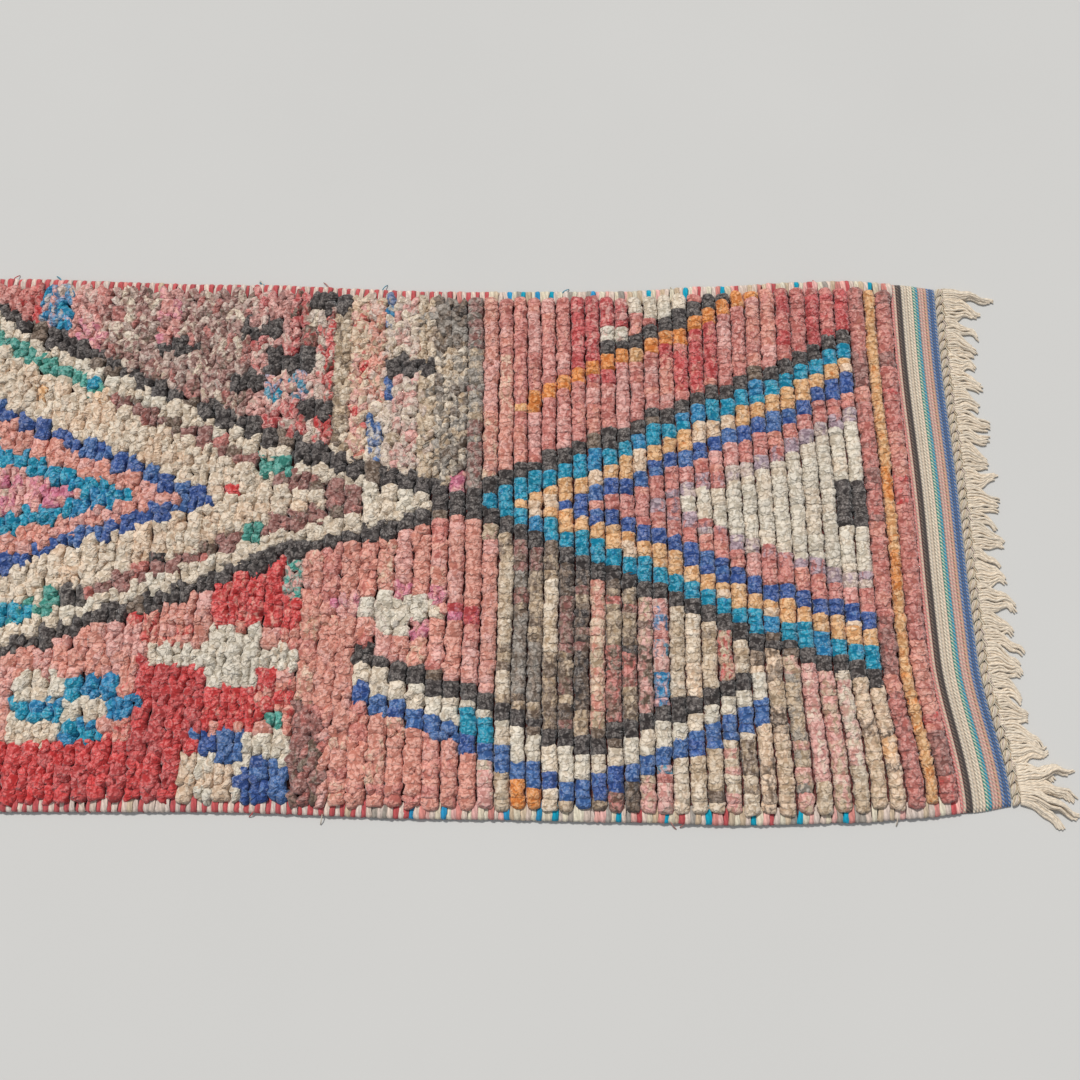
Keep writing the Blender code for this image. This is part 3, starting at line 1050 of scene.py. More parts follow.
@dataclass(frozen=True)
class WoolFinish:
    """Hand-spun wool knots: crinkled, two dyes carded together, painted shade in the crevices, painted
    highlit tips.
    """

    name: str = "knotted_wool"
    cell_scale: float = 190.0
    drift_scale: float = 150.0
    drift: float = 0.010
    crevice: tuple[float, float] = (0.36, 0.80)
    crease_pitch: float = 0.0052
    fibre_scale: float = 460.0
    fleck_scale: float = 160.0
    fleck_run: float = 0.42
    fleck_cut: float = 0.72
    fleck_reach: float = 0.44
    fleck_edge: float = 0.14
    fleck_strength: float = 0.85
    plain_share: float = 0.06
    valley: float = 0.0010
    crest: float = 0.0122
    # Painted shade: how dark the colour gets low between the knots and in the crevices, and how dark its
    # shaded tone is.
    valley_shade: float = 0.10
    crevice_shade: float = 0.40
    shade_tone: float = 0.50
    # Pale fibre tips with a painted highlight: how strong it is, on which fibres, at which heights, and its
    # colour.
    fuzz_highlight: float = 0.28
    fuzz_highlight_fibres: tuple[float, float] = (0.28, 0.80)
    fuzz_highlight_height: tuple[float, float] = (0.0080, 0.0160)
    fuzz_highlight_color: Tone = (0.92, 0.84, 0.76, 1.0)
    roughness: float = 0.96
    bump: float = 0.74
    bump_depth: float = 0.0022

    def build(self) -> bpy.types.Material:
        """Build the finish.

        Returns:
            The material.
        """
        g = Surface(self.name)
        up = g.axis("Z", g.where)
        drift = g.noise(g.where, self.drift_scale, 1.0, "Color")
        bent = g.vector("MULTIPLY_ADD", drift, (self.drift,) * 3, g.where)
        sockets = {"Vector": bent, "Scale": self.cell_scale}
        cells = g.node("ShaderNodeTexVoronoi", {"feature": "F1"}, sockets).out("Distance")
        crevice = cells.band(*self.crevice)
        curl = (g.axis("Y", bent) * (FULL_TURN / self.crease_pitch)).wave()
        fibre = g.noise(g.where, self.fibre_scale, 1.0)
        fleck = g.noise(g.vector("MULTIPLY", bent, (1.0, self.fleck_run, 1.0)), self.fleck_scale, 1.0)

        share = g.amount("share")
        cut = self.fleck_cut - share * self.fleck_reach
        mask = (fleck - cut).band(-self.fleck_edge, self.fleck_edge)
        mask = mask * share.band(0.0, self.plain_share) * self.fleck_strength
        dyed = g.mix(mask, g.dye("main_dye"), g.dye("fleck_dye"))
        # Pale fibre tips and painted highlight: the dye turns pale on the tops, away from the crevices.
        fuzz_highlight = (1.0 - crevice) * fibre.band(*self.fuzz_highlight_fibres) * up.band(*self.fuzz_highlight_height) * self.fuzz_highlight
        pale = g.mix(fuzz_highlight, dyed, self.fuzz_highlight_color)

        # Painted shade: darker low down, in the crevices, and along the crease and fibre pattern.
        depth = up.band(self.valley, self.crest)
        light = self.valley_shade + (1.0 - self.valley_shade) * depth
        light = light * (1.0 - crevice * (1.0 - self.crevice_shade))
        light = light * (0.74 + fibre * 0.30) * (0.90 + curl * 0.12)
        # The painted shade's colour: the dye times itself, darker and richer, as light bounced inside the
        # wool would make it; the base colour runs from it to the highlit dye by the painted light.
        shaded_dye = g.mix(1.0, g.mix(1.0, dyed, dyed, "MULTIPLY"), (*[self.shade_tone] * 3, 1.0), "MULTIPLY")
        sockets = {
            "Base Color": g.mix(light, shaded_dye, pale),
            "Roughness": self.roughness,
            "Specular IOR Level": 0.15,
            "Sheen Weight": 0.3,
            "Sheen Roughness": 0.5,
        }
        height = (1.0 - crevice) * 0.62 + curl * 0.24 + fibre * 0.14
        return g.end(sockets, {"Strength": self.bump, "Distance": self.bump_depth, "Height": height})


@dataclass(frozen=True)
class TwistFinish:
    """Twisted yarn that follows its own length: wraps, twined links and fringe."""

    name: str
    plies: float = 2.0
    twist_pitch: float = 0.0042
    fibre_scale: float = 1300.0
    wobble_scale: float = 260.0
    wobble: float = 4.0
    low_height: tuple[float, float] = (0.0010, 0.0050)
    furrow_shade: float = 0.62
    low_shade: float = 1.0
    roughness: float = 0.90
    bump: float = 0.7
    bump_depth: float = 0.0006

    def build(self) -> bpy.types.Material:
        """Build the finish.

        Returns:
            The material.
        """
        g = Surface(self.name)
        fibre = g.noise(g.where, self.fibre_scale, 3.0)
        wobble = g.noise(g.where, self.wobble_scale, 2.0)
        phase = g.amount("around") * (FULL_TURN * self.plies)
        phase = phase + g.amount("run") * (FULL_TURN / self.twist_pitch)
        plies = (phase + wobble * self.wobble).wave()
        shade = self.furrow_shade + (1.0 - self.furrow_shade) * plies
        depth = self.low_shade + (1.0 - self.low_shade) * g.axis("Z", g.where).band(*self.low_height)
        light = shade * (0.70 + fibre * 0.20 + wobble * 0.38) * depth
        sockets = {
            "Base Color": g.shade(g.dye("main_dye"), light),
            "Roughness": self.roughness,
            "Specular IOR Level": 0.18,
            "Sheen Weight": 0.2,
        }
        height = plies * 0.75 + fibre * 0.25
        return g.end(sockets, {"Strength": self.bump, "Distance": self.bump_depth, "Height": height})


@dataclass(frozen=True)
class WeaveFinish:
    """Flat weave: weft cords twisted from two dyes, lying side by side."""

    name: str = "flat_weave"
    twist_pitch: float = 0.0046
    row_turn: float = 0.80
    fibre_scale: float = 1300.0
    wobble_scale: float = 160.0
    wobble: float = 3.0
    fleck_band: tuple[float, float] = (0.30, 0.90)
    fleck_strength: float = 0.75
    # How dark the painted shade in the furrows between the cords is.
    furrow_painted_shade: float = 0.26
    roughness: float = 0.93
    bump: float = 0.8
    bump_depth: float = 0.0010

    def build(self) -> bpy.types.Material:
        """Build the finish.

        Returns:
            The material.
        """
        g = Surface(self.name)
        row = g.amount("row")
        wobble = g.noise(g.where, self.wobble_scale, 2.0)
        run = g.axis("Y", g.where) * (FULL_TURN / self.twist_pitch)
        slant = (run + row * FULL_TURN * self.row_turn + wobble * self.wobble).wave()
        furrow = 1.0 - g.math("ABSOLUTE", (row * math.pi).sine())
        fibre = g.noise(g.where, self.fibre_scale, 3.0)
        mask = slant.band(*self.fleck_band) * self.fleck_strength
        dyed = g.mix(mask, g.dye("main_dye"), g.dye("fleck_dye"))
        # Painted shade: darker along the twist's slant and in the furrows between the weft cords.
        light = (0.70 + 0.42 * slant) * (0.72 + fibre * 0.24 + wobble * 0.30)
        sockets = {
            "Base Color": g.shade(dyed, light * (1.0 - furrow * self.furrow_painted_shade)),
            "Roughness": self.roughness,
            "Specular IOR Level": 0.15,
            "Sheen Weight": 0.2,
        }
        height = slant * 0.7 + fibre * 0.2 - furrow * 0.6
        return g.end(sockets, {"Strength": self.bump, "Distance": self.bump_depth, "Height": height})


@dataclass(frozen=True)
class FloorFinish:
    """A plain pale floor."""

    name: str = "pale_floor"
    color: Color = field(default_factory=lambda: linear((206, 205, 202)))
    cloud_scale: float = 2.2
    roughness: float = 0.9

    def build(self) -> bpy.types.Material:
        """Build the finish.

        Returns:
            The material.
        """
        g = Surface(self.name)
        color = g.shade((*self.color, 1.0), 0.97 + g.noise(g.where, self.cloud_scale, 4.0) * 0.06)
        return g.end({"Base Color": color, "Roughness": self.roughness, "Specular IOR Level": 0.2})


class Cord(NamedTuple):
    """A weft cord of the flat weave: the two dyes twisted in it."""

    main: Dye
    fleck: Dye


@dataclass
class GroundWeave:
    """The weave under the pile, and the two flat-woven bands."""

    cloth: Cloth
    height: float = 0.0036
    inset: float = 0.0015
    column_step: float = 0.030
    band_step_x: float = 0.0008
    band_step_y: float = 0.0060
    row_relief: float = 0.0015
    row_rise: float = 0.0006
    overlap: float = 0.0008
    gap: float = 0.0012
    end_gap: float = 0.0002
    usual_width: float = 0.66
    dye_spread: float = 0.05
    crease_angle: float = 70.0
    tones: Tones = field(default_factory=lambda: Tones(5))

    FRINGE_CORDS = (
        Cord(Dye.PINK, Dye.DEEP_ROSE), Cord(Dye.WARP, Dye.ROSE), Cord(Dye.CHARCOAL, Dye.BROWN_MARL),
        Cord(Dye.CHARCOAL, Dye.CHARCOAL), Cord(Dye.WARP, Dye.BLUSH), Cord(Dye.CREAM, Dye.BEIGE),
        Cord(Dye.WARP, Dye.CREAM), Cord(Dye.CREAM, Dye.PEACH_CREAM), Cord(Dye.JADE, Dye.WARP),
        Cord(Dye.TURQUOISE, Dye.GREY), Cord(Dye.BLUSH, Dye.ROSE), Cord(Dye.PINK, Dye.BEIGE),
        Cord(Dye.BEIGE, Dye.ROSE), Cord(Dye.DENIM, Dye.GREY), Cord(Dye.DENIM, Dye.CHARCOAL),
        Cord(Dye.DENIM, Dye.GREY),
    )
    START_CORDS = (
        Cord(Dye.ROSE, Dye.DEEP_ROSE), Cord(Dye.PINK, Dye.CREAM), Cord(Dye.CREAM, Dye.WARP),
        Cord(Dye.CHARCOAL, Dye.GREY), Cord(Dye.CREAM, Dye.WARP), Cord(Dye.WARP, Dye.PINK),
        Cord(Dye.CREAM, Dye.WARP), Cord(Dye.DENIM, Dye.CREAM), Cord(Dye.CREAM, Dye.WARP),
        Cord(Dye.ROSE, Dye.CREAM), Cord(Dye.CREAM, Dye.WARP), Cord(Dye.WARP, Dye.CREAM),
    )

    def build(self, finish: bpy.types.Material) -> list[bpy.types.Object]:
        """Build the ground and its bands.

        Args:
            finish: The weave's material.

        Returns:
            The ground first, then the band at the fringe and the band at the start.
        """
        pile = self.cloth.pile_half + self.overlap
        count = round(2.0 * pile / self.column_step)
        places = [-pile + 2.0 * pile * step / count for step in range(count + 1)]
        ground = "ground_weave", places, self.column_step, lambda row: self.height, lambda x: 0.5
        pieces = [
            self._slab(*ground, (Cord(Dye.GROUND, Dye.GROUND),)),
            self._band(1.0, self.FRINGE_CORDS, "band_fringe"),
            self._band(-1.0, self.START_CORDS, "band_start"),
        ]
        for piece in pieces:
            piece.data.materials.append(finish)
        return pieces

    def _band(self, side: float, cords: Sequence[Cord], name: str) -> bpy.types.Object:
        """Build one flat-woven band, with a round back for each weft cord.

        Args:
            side: Which end it is, 1 at the fringe or -1 at the start.
            cords: Its weft cords, from the pile outwards.
            name: The piece's name.

        Returns:
            The band.
        """
        start = (self.cloth.pile_end if side > 0.0 else self.cloth.pile_half) + self.gap
        end = self.cloth.cloth_half - self.end_gap
        count = round((end - start) / self.band_step_x)
        places = sorted(side * (start + (end - start) * step / count) for step in range(count + 1))

        def row_of(x: float) -> float:
            """Find which weft cord lies at a place, counted from the pile."""
            return (abs(x) - start) / (end - start) * len(cords)

        def relief(row: float) -> float:
            """Find the height of the band's upper side."""
            bulge = math.sqrt(max(0.0, 1.0 - (2.0 * (row % 1.0) - 1.0) ** 2))
            return self.cloth.band_height + self.row_rise - self.row_relief * (1.0 - bulge)

        return self._slab(name, places, self.band_step_y, relief, row_of, cords)

    def _slab(
        self,
        name: str,
        places: Sequence[float],
        step: float,
        top: Callable[[float], float],
        row_of: Callable[[float], float],
        cords: Sequence[Cord],
    ) -> bpy.types.Object:
        """Build a closed slab of cloth with cords on its upper side and a flat lower side.

        Args:
            name: The piece's name.
            places: Where its lines of points lie along the runner.
            step: How far apart the points lie across it.
            top: The height of its upper side, from the cord's number.
            row_of: The cord's number at a place along the runner.
            cords: The cords' dyes.

        Returns:
            The slab.
        """
        columns = round(self.usual_width / step)
        shades = [[self.tones.near(linear(dye.value), self.dye_spread) for dye in cord] for cord in cords]
        points: list[Point] = []
        main, fleck, rows = [], [], []
        for x in places:
            near, far = self.cloth.edges(x)
            row = row_of(x)
            shade = shades[min(int(row), len(cords) - 1)]
            for upper in (True, False):
                for column in range(columns + 1):
                    y = near + self.inset + (far - near - 2.0 * self.inset) * column / columns
                    rim = min(column, columns - column) == 0
                    z = top(row) * (0.5 if rim else 1.0) if upper else FLOOR_GAP
                    points.append((x + self.cloth.shift(x, y), y, z))
                    main.append(shade[0])
                    fleck.append(shade[1])
                    rows.append(row)
        width = columns + 1
        faces: list[tuple[int, ...]] = []
        for line_number in range(len(places) - 1):
            a, b = 2 * line_number * width, 2 * (line_number + 1) * width
            for column in range(columns):
                faces.append((a + column, b + column, b + column + 1, a + column + 1))
                low, high = a + width + column, b + width + column
                faces.append((low, low + 1, high + 1, high))
            faces.append((a, a + width, b + width, b))
            faces.append((a + columns, b + columns, b + width + columns, a + width + columns))
        last = 2 * (len(places) - 1) * width
        for column in range(columns):
            faces.append((column, column + 1, width + column + 1, width + column))
            top_left = last + column
            faces.append((top_left, top_left + width, top_left + width + 1, top_left + 1))
        mesh = plain_mesh(name, points, faces)
        give(mesh, "main_dye", "FLOAT_COLOR", main)
        give(mesh, "fleck_dye", "FLOAT_COLOR", fleck)
        give(mesh, "row", "FLOAT", rows)
        mesh.shade_smooth()
        mesh.set_sharp_from_angle(angle=math.radians(self.crease_angle))
        return link(name, mesh)


class Wool(NamedTuple):
    """What one knot is tied from: its two dyes, and the share of the second."""

    main: Tone
    fleck: Tone
    share: float


class Knot(NamedTuple):
    """A knot, or one end of it: place, turn, half sizes, form, looseness and wool."""

    place: Point
    turn: Point
    size: Point
    form: int
    loose: float
    wool: Wool


class Rib(NamedTuple):
    """One rib: where it lies along the runner, and how wide it is."""

    x: float
    width: float


class Seat(NamedTuple):
    """Where a knot is tied: its rib, its place across, the pitch, its height share and looseness."""

    rib: Rib
    y: float
    pitch: float
    rim: float
    loose: float


@dataclass
class Pile:
    """The ribs of separate wool knots."""

    cloth: Cloth
    chart: Chart
    tuft_pitch: float = 0.0125
    tuft_offset: float = 0.225
    column_pitch: float = 0.0098
    knot_height: float = 0.0124
    base: float = 0.0026
    ragged_edge: float = 0.0015
    rim_height: float = 0.86
    loose_end: float = 0.38
    firm_start: float = 0.68
    marled_share: float = 0.5
    dye_spread: float = 0.05
    pieces: int = 5
    seed: int = 23
    lump_scale: float = 115.0
    lump_size: float = 0.0034
    crinkle_scale: float = 250.0
    crinkle_size: float = 0.0019
    ring_places: tuple[float, ...] = (-1.0, -0.56, 0.0, 0.54, 1.0)
    tuft_swells: tuple[tuple[float, ...], ...] = (
        (0.52, 0.98, 0.84, 1.02, 0.56), (0.42, 0.82, 1.04, 0.90, 0.62), (0.60, 1.04, 0.92, 0.80, 0.44),
        (0.50, 0.90, 1.00, 1.00, 0.50), (0.64, 0.94, 0.80, 0.98, 0.66),
    )
    tuft_section: tuple[tuple[float, float], ...] = (
        (-0.90, 0.00), (-0.98, 0.56), (-0.46, 1.00), (0.46, 1.00), (0.98, 0.56), (0.90, 0.00),
    )
    column_swells: tuple[tuple[float, ...], ...] = (
        (0.70, 0.98, 1.00, 0.96, 0.70), (0.66, 0.94, 1.02, 0.98, 0.72), (0.74, 1.00, 0.95, 1.00, 0.66),
        (0.70, 0.96, 0.99, 1.02, 0.70), (0.68, 1.02, 0.98, 0.94, 0.70),
    )
    column_section: tuple[tuple[float, float], ...] = (
        (-0.92, 0.00), (-1.00, 0.46), (-0.80, 0.82), (-0.30, 1.02),
        (0.30, 1.02), (0.80, 0.82), (1.00, 0.46), (0.92, 0.00),
    )
    curls: tuple[float, ...] = (0.30, -0.28, 0.14, -0.36, 0.04)
    pitch_shares: tuple[tuple[float, float], ...] = (
        (-1.20, 1.00), (-0.90, 0.96), (-0.50, 1.05), (-0.20, 1.00), (0.10, 1.04), (0.33, 1.05),
        (0.43, 1.12), (0.58, 1.10), (0.66, 0.95), (0.82, 0.95), (0.90, 0.98), (1.20, 0.98),
    )
    border_shares: tuple[float, ...] = (1.06, 0.72, 1.12)
    plait_end: float = 0.62
    plait_slant: float = 0.42
    tuft_slant: float = 0.10

    def build(self, finish: bpy.types.Material) -> list[bpy.types.Object]:
        """Build the pile in several pieces along the runner.

        Args:
            finish: The wool's material.

        Returns:
            The pile's pieces.
        """
        forms = self._forms()
        tree, knots = self._tree(), self._knots()
        share = math.ceil(len(knots) / self.pieces)
        built = []
        for number in range(self.pieces):
            chosen = knots[number * share : (number + 1) * share]
            values = {
                "Knot forms": forms,
                "Lump scale": self.lump_scale,
                "Lump size": self.lump_size,
                "Crinkle scale": self.crinkle_scale,
                "Crinkle size": self.crinkle_size,
                "Finish": finish,
            }
            built.append(tree.run(f"pile_{number + 1}", self._carrier(chosen), values))
        for thing in list(forms.objects):
            bpy.data.objects.remove(thing)
        bpy.data.collections.remove(forms)
        return built

    def _forms(self) -> bpy.types.Collection:
        """Build the few knot shapes that are tied over and over, one metre to each half size.

        Returns:
            The tufts first, then the short lengths of a firm rib.
        """
        forms = bpy.data.collections.new("knot_forms")
        bpy.context.scene.collection.children.link(forms)
        tufts = zip(self.tuft_swells, self.curls)
        columns = zip(self.column_swells, self.curls)
        kinds = [(swells, self.tuft_section, curl) for swells, curl in tufts]
        kinds += [(swells, self.column_section, 0.25 * curl) for swells, curl in columns]
        for number, (swells, section, curl) in enumerate(kinds):
            points: list[Point] = []
            for place, swell in zip(self.ring_places, swells):
                for side, up in section:
                    x = side * (0.45 + 0.55 * swell) + curl * (1.0 - 2.0 * place * place) * up
                    points.append((x, place * (0.80 + 0.20 * up), 0.05 + 0.95 * up * swell))
            mesh = plain_mesh(f"knot_{number}", points, tube_faces(len(self.ring_places), len(section)))
            forms.objects.link(bpy.data.objects.new(f"knot_{number}", mesh))
        return forms

    def _ribs(self) -> list[Rib]:
        """Lay the ribs out from one end of the pile to the other, wider where the weaver beat less.

        Returns:
            The ribs.
        """
        chance = random.Random(self.seed + 1)
        border = [share * self.cloth.rib_pitch for share in self.border_shares]
        end = self.cloth.pile_end - sum(border)
        ribs = []
        place = -self.cloth.pile_half
        for _ in range(2 * self.cloth.rib_count):
            if place > end - 0.4 * self.cloth.rib_pitch:
                break
            share = float(np.interp(place, *zip(*self.pitch_shares)))
            width = self.cloth.rib_pitch * share * chance.uniform(0.95, 1.05)
            ribs.append(Rib(place + 0.5 * width, width))
            place += width
        start = -self.cloth.pile_half
        stretch = (end - start) / (place - start)
        ribs = [Rib(start + (rib.x - start) * stretch, rib.width * stretch) for rib in ribs]
        for width in border:
            ribs.append(Rib(end + 0.5 * width, width))
            end += width
        return ribs

    def _knots(self) -> list[Knot]:
        """Tie every knot: two tufts where the pile is loose, one length of rib where it is firm.

        Returns:
            The tufts and the lengths of rib, in the order of the ribs.
        """
        chance = random.Random(self.seed)
        tones = Tones(self.seed)
        knots = []
        for rib in self._ribs():
            near, far = self.cloth.edges(rib.x)
            low = near + self.cloth.selvedge + chance.uniform(-self.ragged_edge, self.ragged_edge)
            high = far - self.cloth.selvedge + chance.uniform(-self.ragged_edge, self.ragged_edge)
            loose = 1.0 - ease((rib.x - self.loose_end) / (self.firm_start - self.loose_end))
            usual = self.column_pitch + (self.tuft_pitch - self.column_pitch) * loose
            count = round((high - low) / usual)
            pitch = (high - low) / count
            abrash, mood = chance.uniform(0.95, 1.05), chance.random()
            for number in range(count):
                y = low + (number + 0.5 + chance.uniform(-0.12, 0.12)) * pitch
                marled = self.chart.yarn_at(rib.x, y).share >= self.marled_share
                plaited = marled and rib.x < self.plait_end
                turns_over = (0.45 if marled else 0.28) + 0.30 * loose
                mood = chance.random() if chance.random() < turns_over else mood
                rim = self.rim_height if number in (0, count - 1) else 1.0
                seat = Seat(rib, y, pitch, rim, loose)
                if chance.random() < (0.90 if plaited else 0.70 * loose):
                    slant = self.plait_slant if plaited else self.tuft_slant
                    slip = chance.uniform(-0.25, 0.25) * pitch
                    for side in (-1.0, 1.0):
                        x = rib.x + side * self.tuft_offset * rib.width
                        yarn = self.chart.yarn_at(x, y + side * slip)
                        end = seat._replace(y=y + side * slip)
                        mood = chance.random() if marled else mood
                        wool = self._wool(yarn, mood, abrash, chance, tones)
                        knots.append(self._tuft(end, side, slant, wool, chance))
                else:
                    wool = self._wool(self.chart.yarn_at(rib.x, y), mood, abrash, chance, tones)
                    knots.append(self._length_of_rib(seat, wool, chance))
        return knots

    def _wool(self, yarn: Yarn, mood: float, abrash: float, chance: random.Random, tones: Tones) -> Wool:
        """Draw the wool of one knot.

        Args:
            yarn: The area's yarn.
            mood: Which of its dyes comes up, from 0 to 1; neighbours in a rib often share it.
            abrash: How light this rib's wool is against other ribs.
            chance: The source of its small differences.
            tones: Mixes its dyes.

        Returns:
            The two dyes and the fleck's share.
        """
        main, fleck = yarn.main, yarn.others[int(mood * 7.0) % len(yarn.others)]
        if mood < 0.70 * yarn.share:
            main, fleck = fleck, main
        tone = abrash * chance.uniform(0.95, 1.05)
        lit = ([value * tone for value in linear(dye.value)] for dye in (main, fleck))
        dyes = [tones.near(color, self.dye_spread) for color in lit]
        return Wool(dyes[0], dyes[1], max(0.0, yarn.share - 0.12) * chance.uniform(0.5, 1.3))

    def _lie(self, x: float, y: float, sway: float) -> Point:
        """Find where a knot stands on the ground weave."""
        return x + self.cloth.shift(x, y) + sway, y, self.base

    def _height(self, seat: Seat) -> float:
        """Find how tall a knot stands."""
        lift = 1.0 + self.cloth.ripple(self.cloth.lumps, seat.rib.x, seat.y) / self.knot_height
        return seat.rim * lift * self.knot_height

    def _tuft(self, seat: Seat, side: float, slant: float, wool: Wool, chance: random.Random) -> Knot:
        """Stand up one of the two ends of a loose knot.

        Args:
            seat: Where it is tied.
            side: Which end of the knot it is, -1 or 1.
            slant: How far it turns away from the other end, in radians.
            wool: Its dyes.
            chance: The source of its small differences.

        Returns:
            The tuft.
        """
        x = seat.rib.x + side * self.tuft_offset * seat.rib.width
        place = self._lie(x, seat.y, chance.uniform(-0.0008, 0.0008))
        turn = (chance.gauss(0.04, 0.08), chance.gauss(side * 0.06, 0.08), chance.gauss(-side * slant, 0.12))
        size = (
            0.27 * seat.rib.width * chance.uniform(1.08, 1.34) * (1.0 - 0.25 * slant),
            0.50 * seat.pitch * chance.uniform(1.34, 1.76) * (1.0 + 0.7 * slant),
            self._height(seat) * chance.uniform(0.92, 1.06),
        )
        return Knot(place, turn, size, chance.randrange(len(self.tuft_swells)), 1.0, wool)

    def _length_of_rib(self, seat: Seat, wool: Wool, chance: random.Random) -> Knot:
        """Lay one firm knot, which runs on into the next one of its rib.

        Args:
            seat: Where it is tied.
            wool: Its dyes.
            chance: The source of its small differences.

        Returns:
            The knot.
        """
        loose = seat.loose
        place = self._lie(seat.rib.x, seat.y, chance.gauss(0.0, 0.0004 + 0.0006 * loose))
        turn = (chance.gauss(0.02, 0.05), chance.gauss(0.0, 0.04), chance.gauss(0.0, 0.05 + 0.08 * loose))
        size = (
            0.50 * seat.rib.width * (chance.uniform(0.92, 1.00) + 0.04 * loose),
            0.50 * seat.pitch * chance.uniform(1.55, 1.90),
            self._height(seat) * chance.uniform(0.96, 1.04),
        )
        form = len(self.tuft_swells) + chance.randrange(len(self.column_swells))
        return Knot(place, turn, size, form, loose, wool)

    @staticmethod
    def _carrier(knots: Sequence[Knot]) -> bpy.types.Mesh:
        """Lay the knots out as points that carry their turn, size and dyes.

        Args:
            knots: The knots of one piece.

        Returns:
            The points.
        """
        places, turns, sizes, forms, loose, wools = zip(*knots)
        main, fleck, shares = zip(*wools)
        mesh = plain_mesh("knot_places", places, [])
        give(mesh, "turn", "FLOAT_VECTOR", turns)
        give(mesh, "size", "FLOAT_VECTOR", sizes)
        give(mesh, "form", "INT", forms)
        give(mesh, "loose", "FLOAT", loose)
        give(mesh, "main_dye", "FLOAT_COLOR", main)
        give(mesh, "fleck_dye", "FLOAT_COLOR", fleck)
        give(mesh, "share", "FLOAT", shares)
        return mesh

    @staticmethod
    def _tree() -> ShapeTree:
        """Build the tree that sets a knot on every point and makes each one lumpy in its own way.

        Returns:
            The tree.
        """
        tree = ShapeTree("tie_knots")
        collection = tree.input("Knot forms", "NodeSocketCollection")
        lump = tree.scale_and_size("Lump")
        crinkle = tree.scale_and_size("Crinkle")
        finish = tree.input("Finish", "NodeSocketMaterial")
        sockets = {"Collection": collection, "Separate Children": True, "Reset Children": True}
        forms = tree.node("GeometryNodeCollectionInfo", None, sockets).out()
        shape = tree.on_points(forms, {"Pick Instance": True, "Instance Index": tree.named("form", "INT")})
        softness = 0.62 + tree.named("loose", "FLOAT") * 0.38
        for scale, size in (lump, crinkle):
            shape = tree.roughen(shape, scale, size, softness)
        tree.close(shape, finish)
        return tree


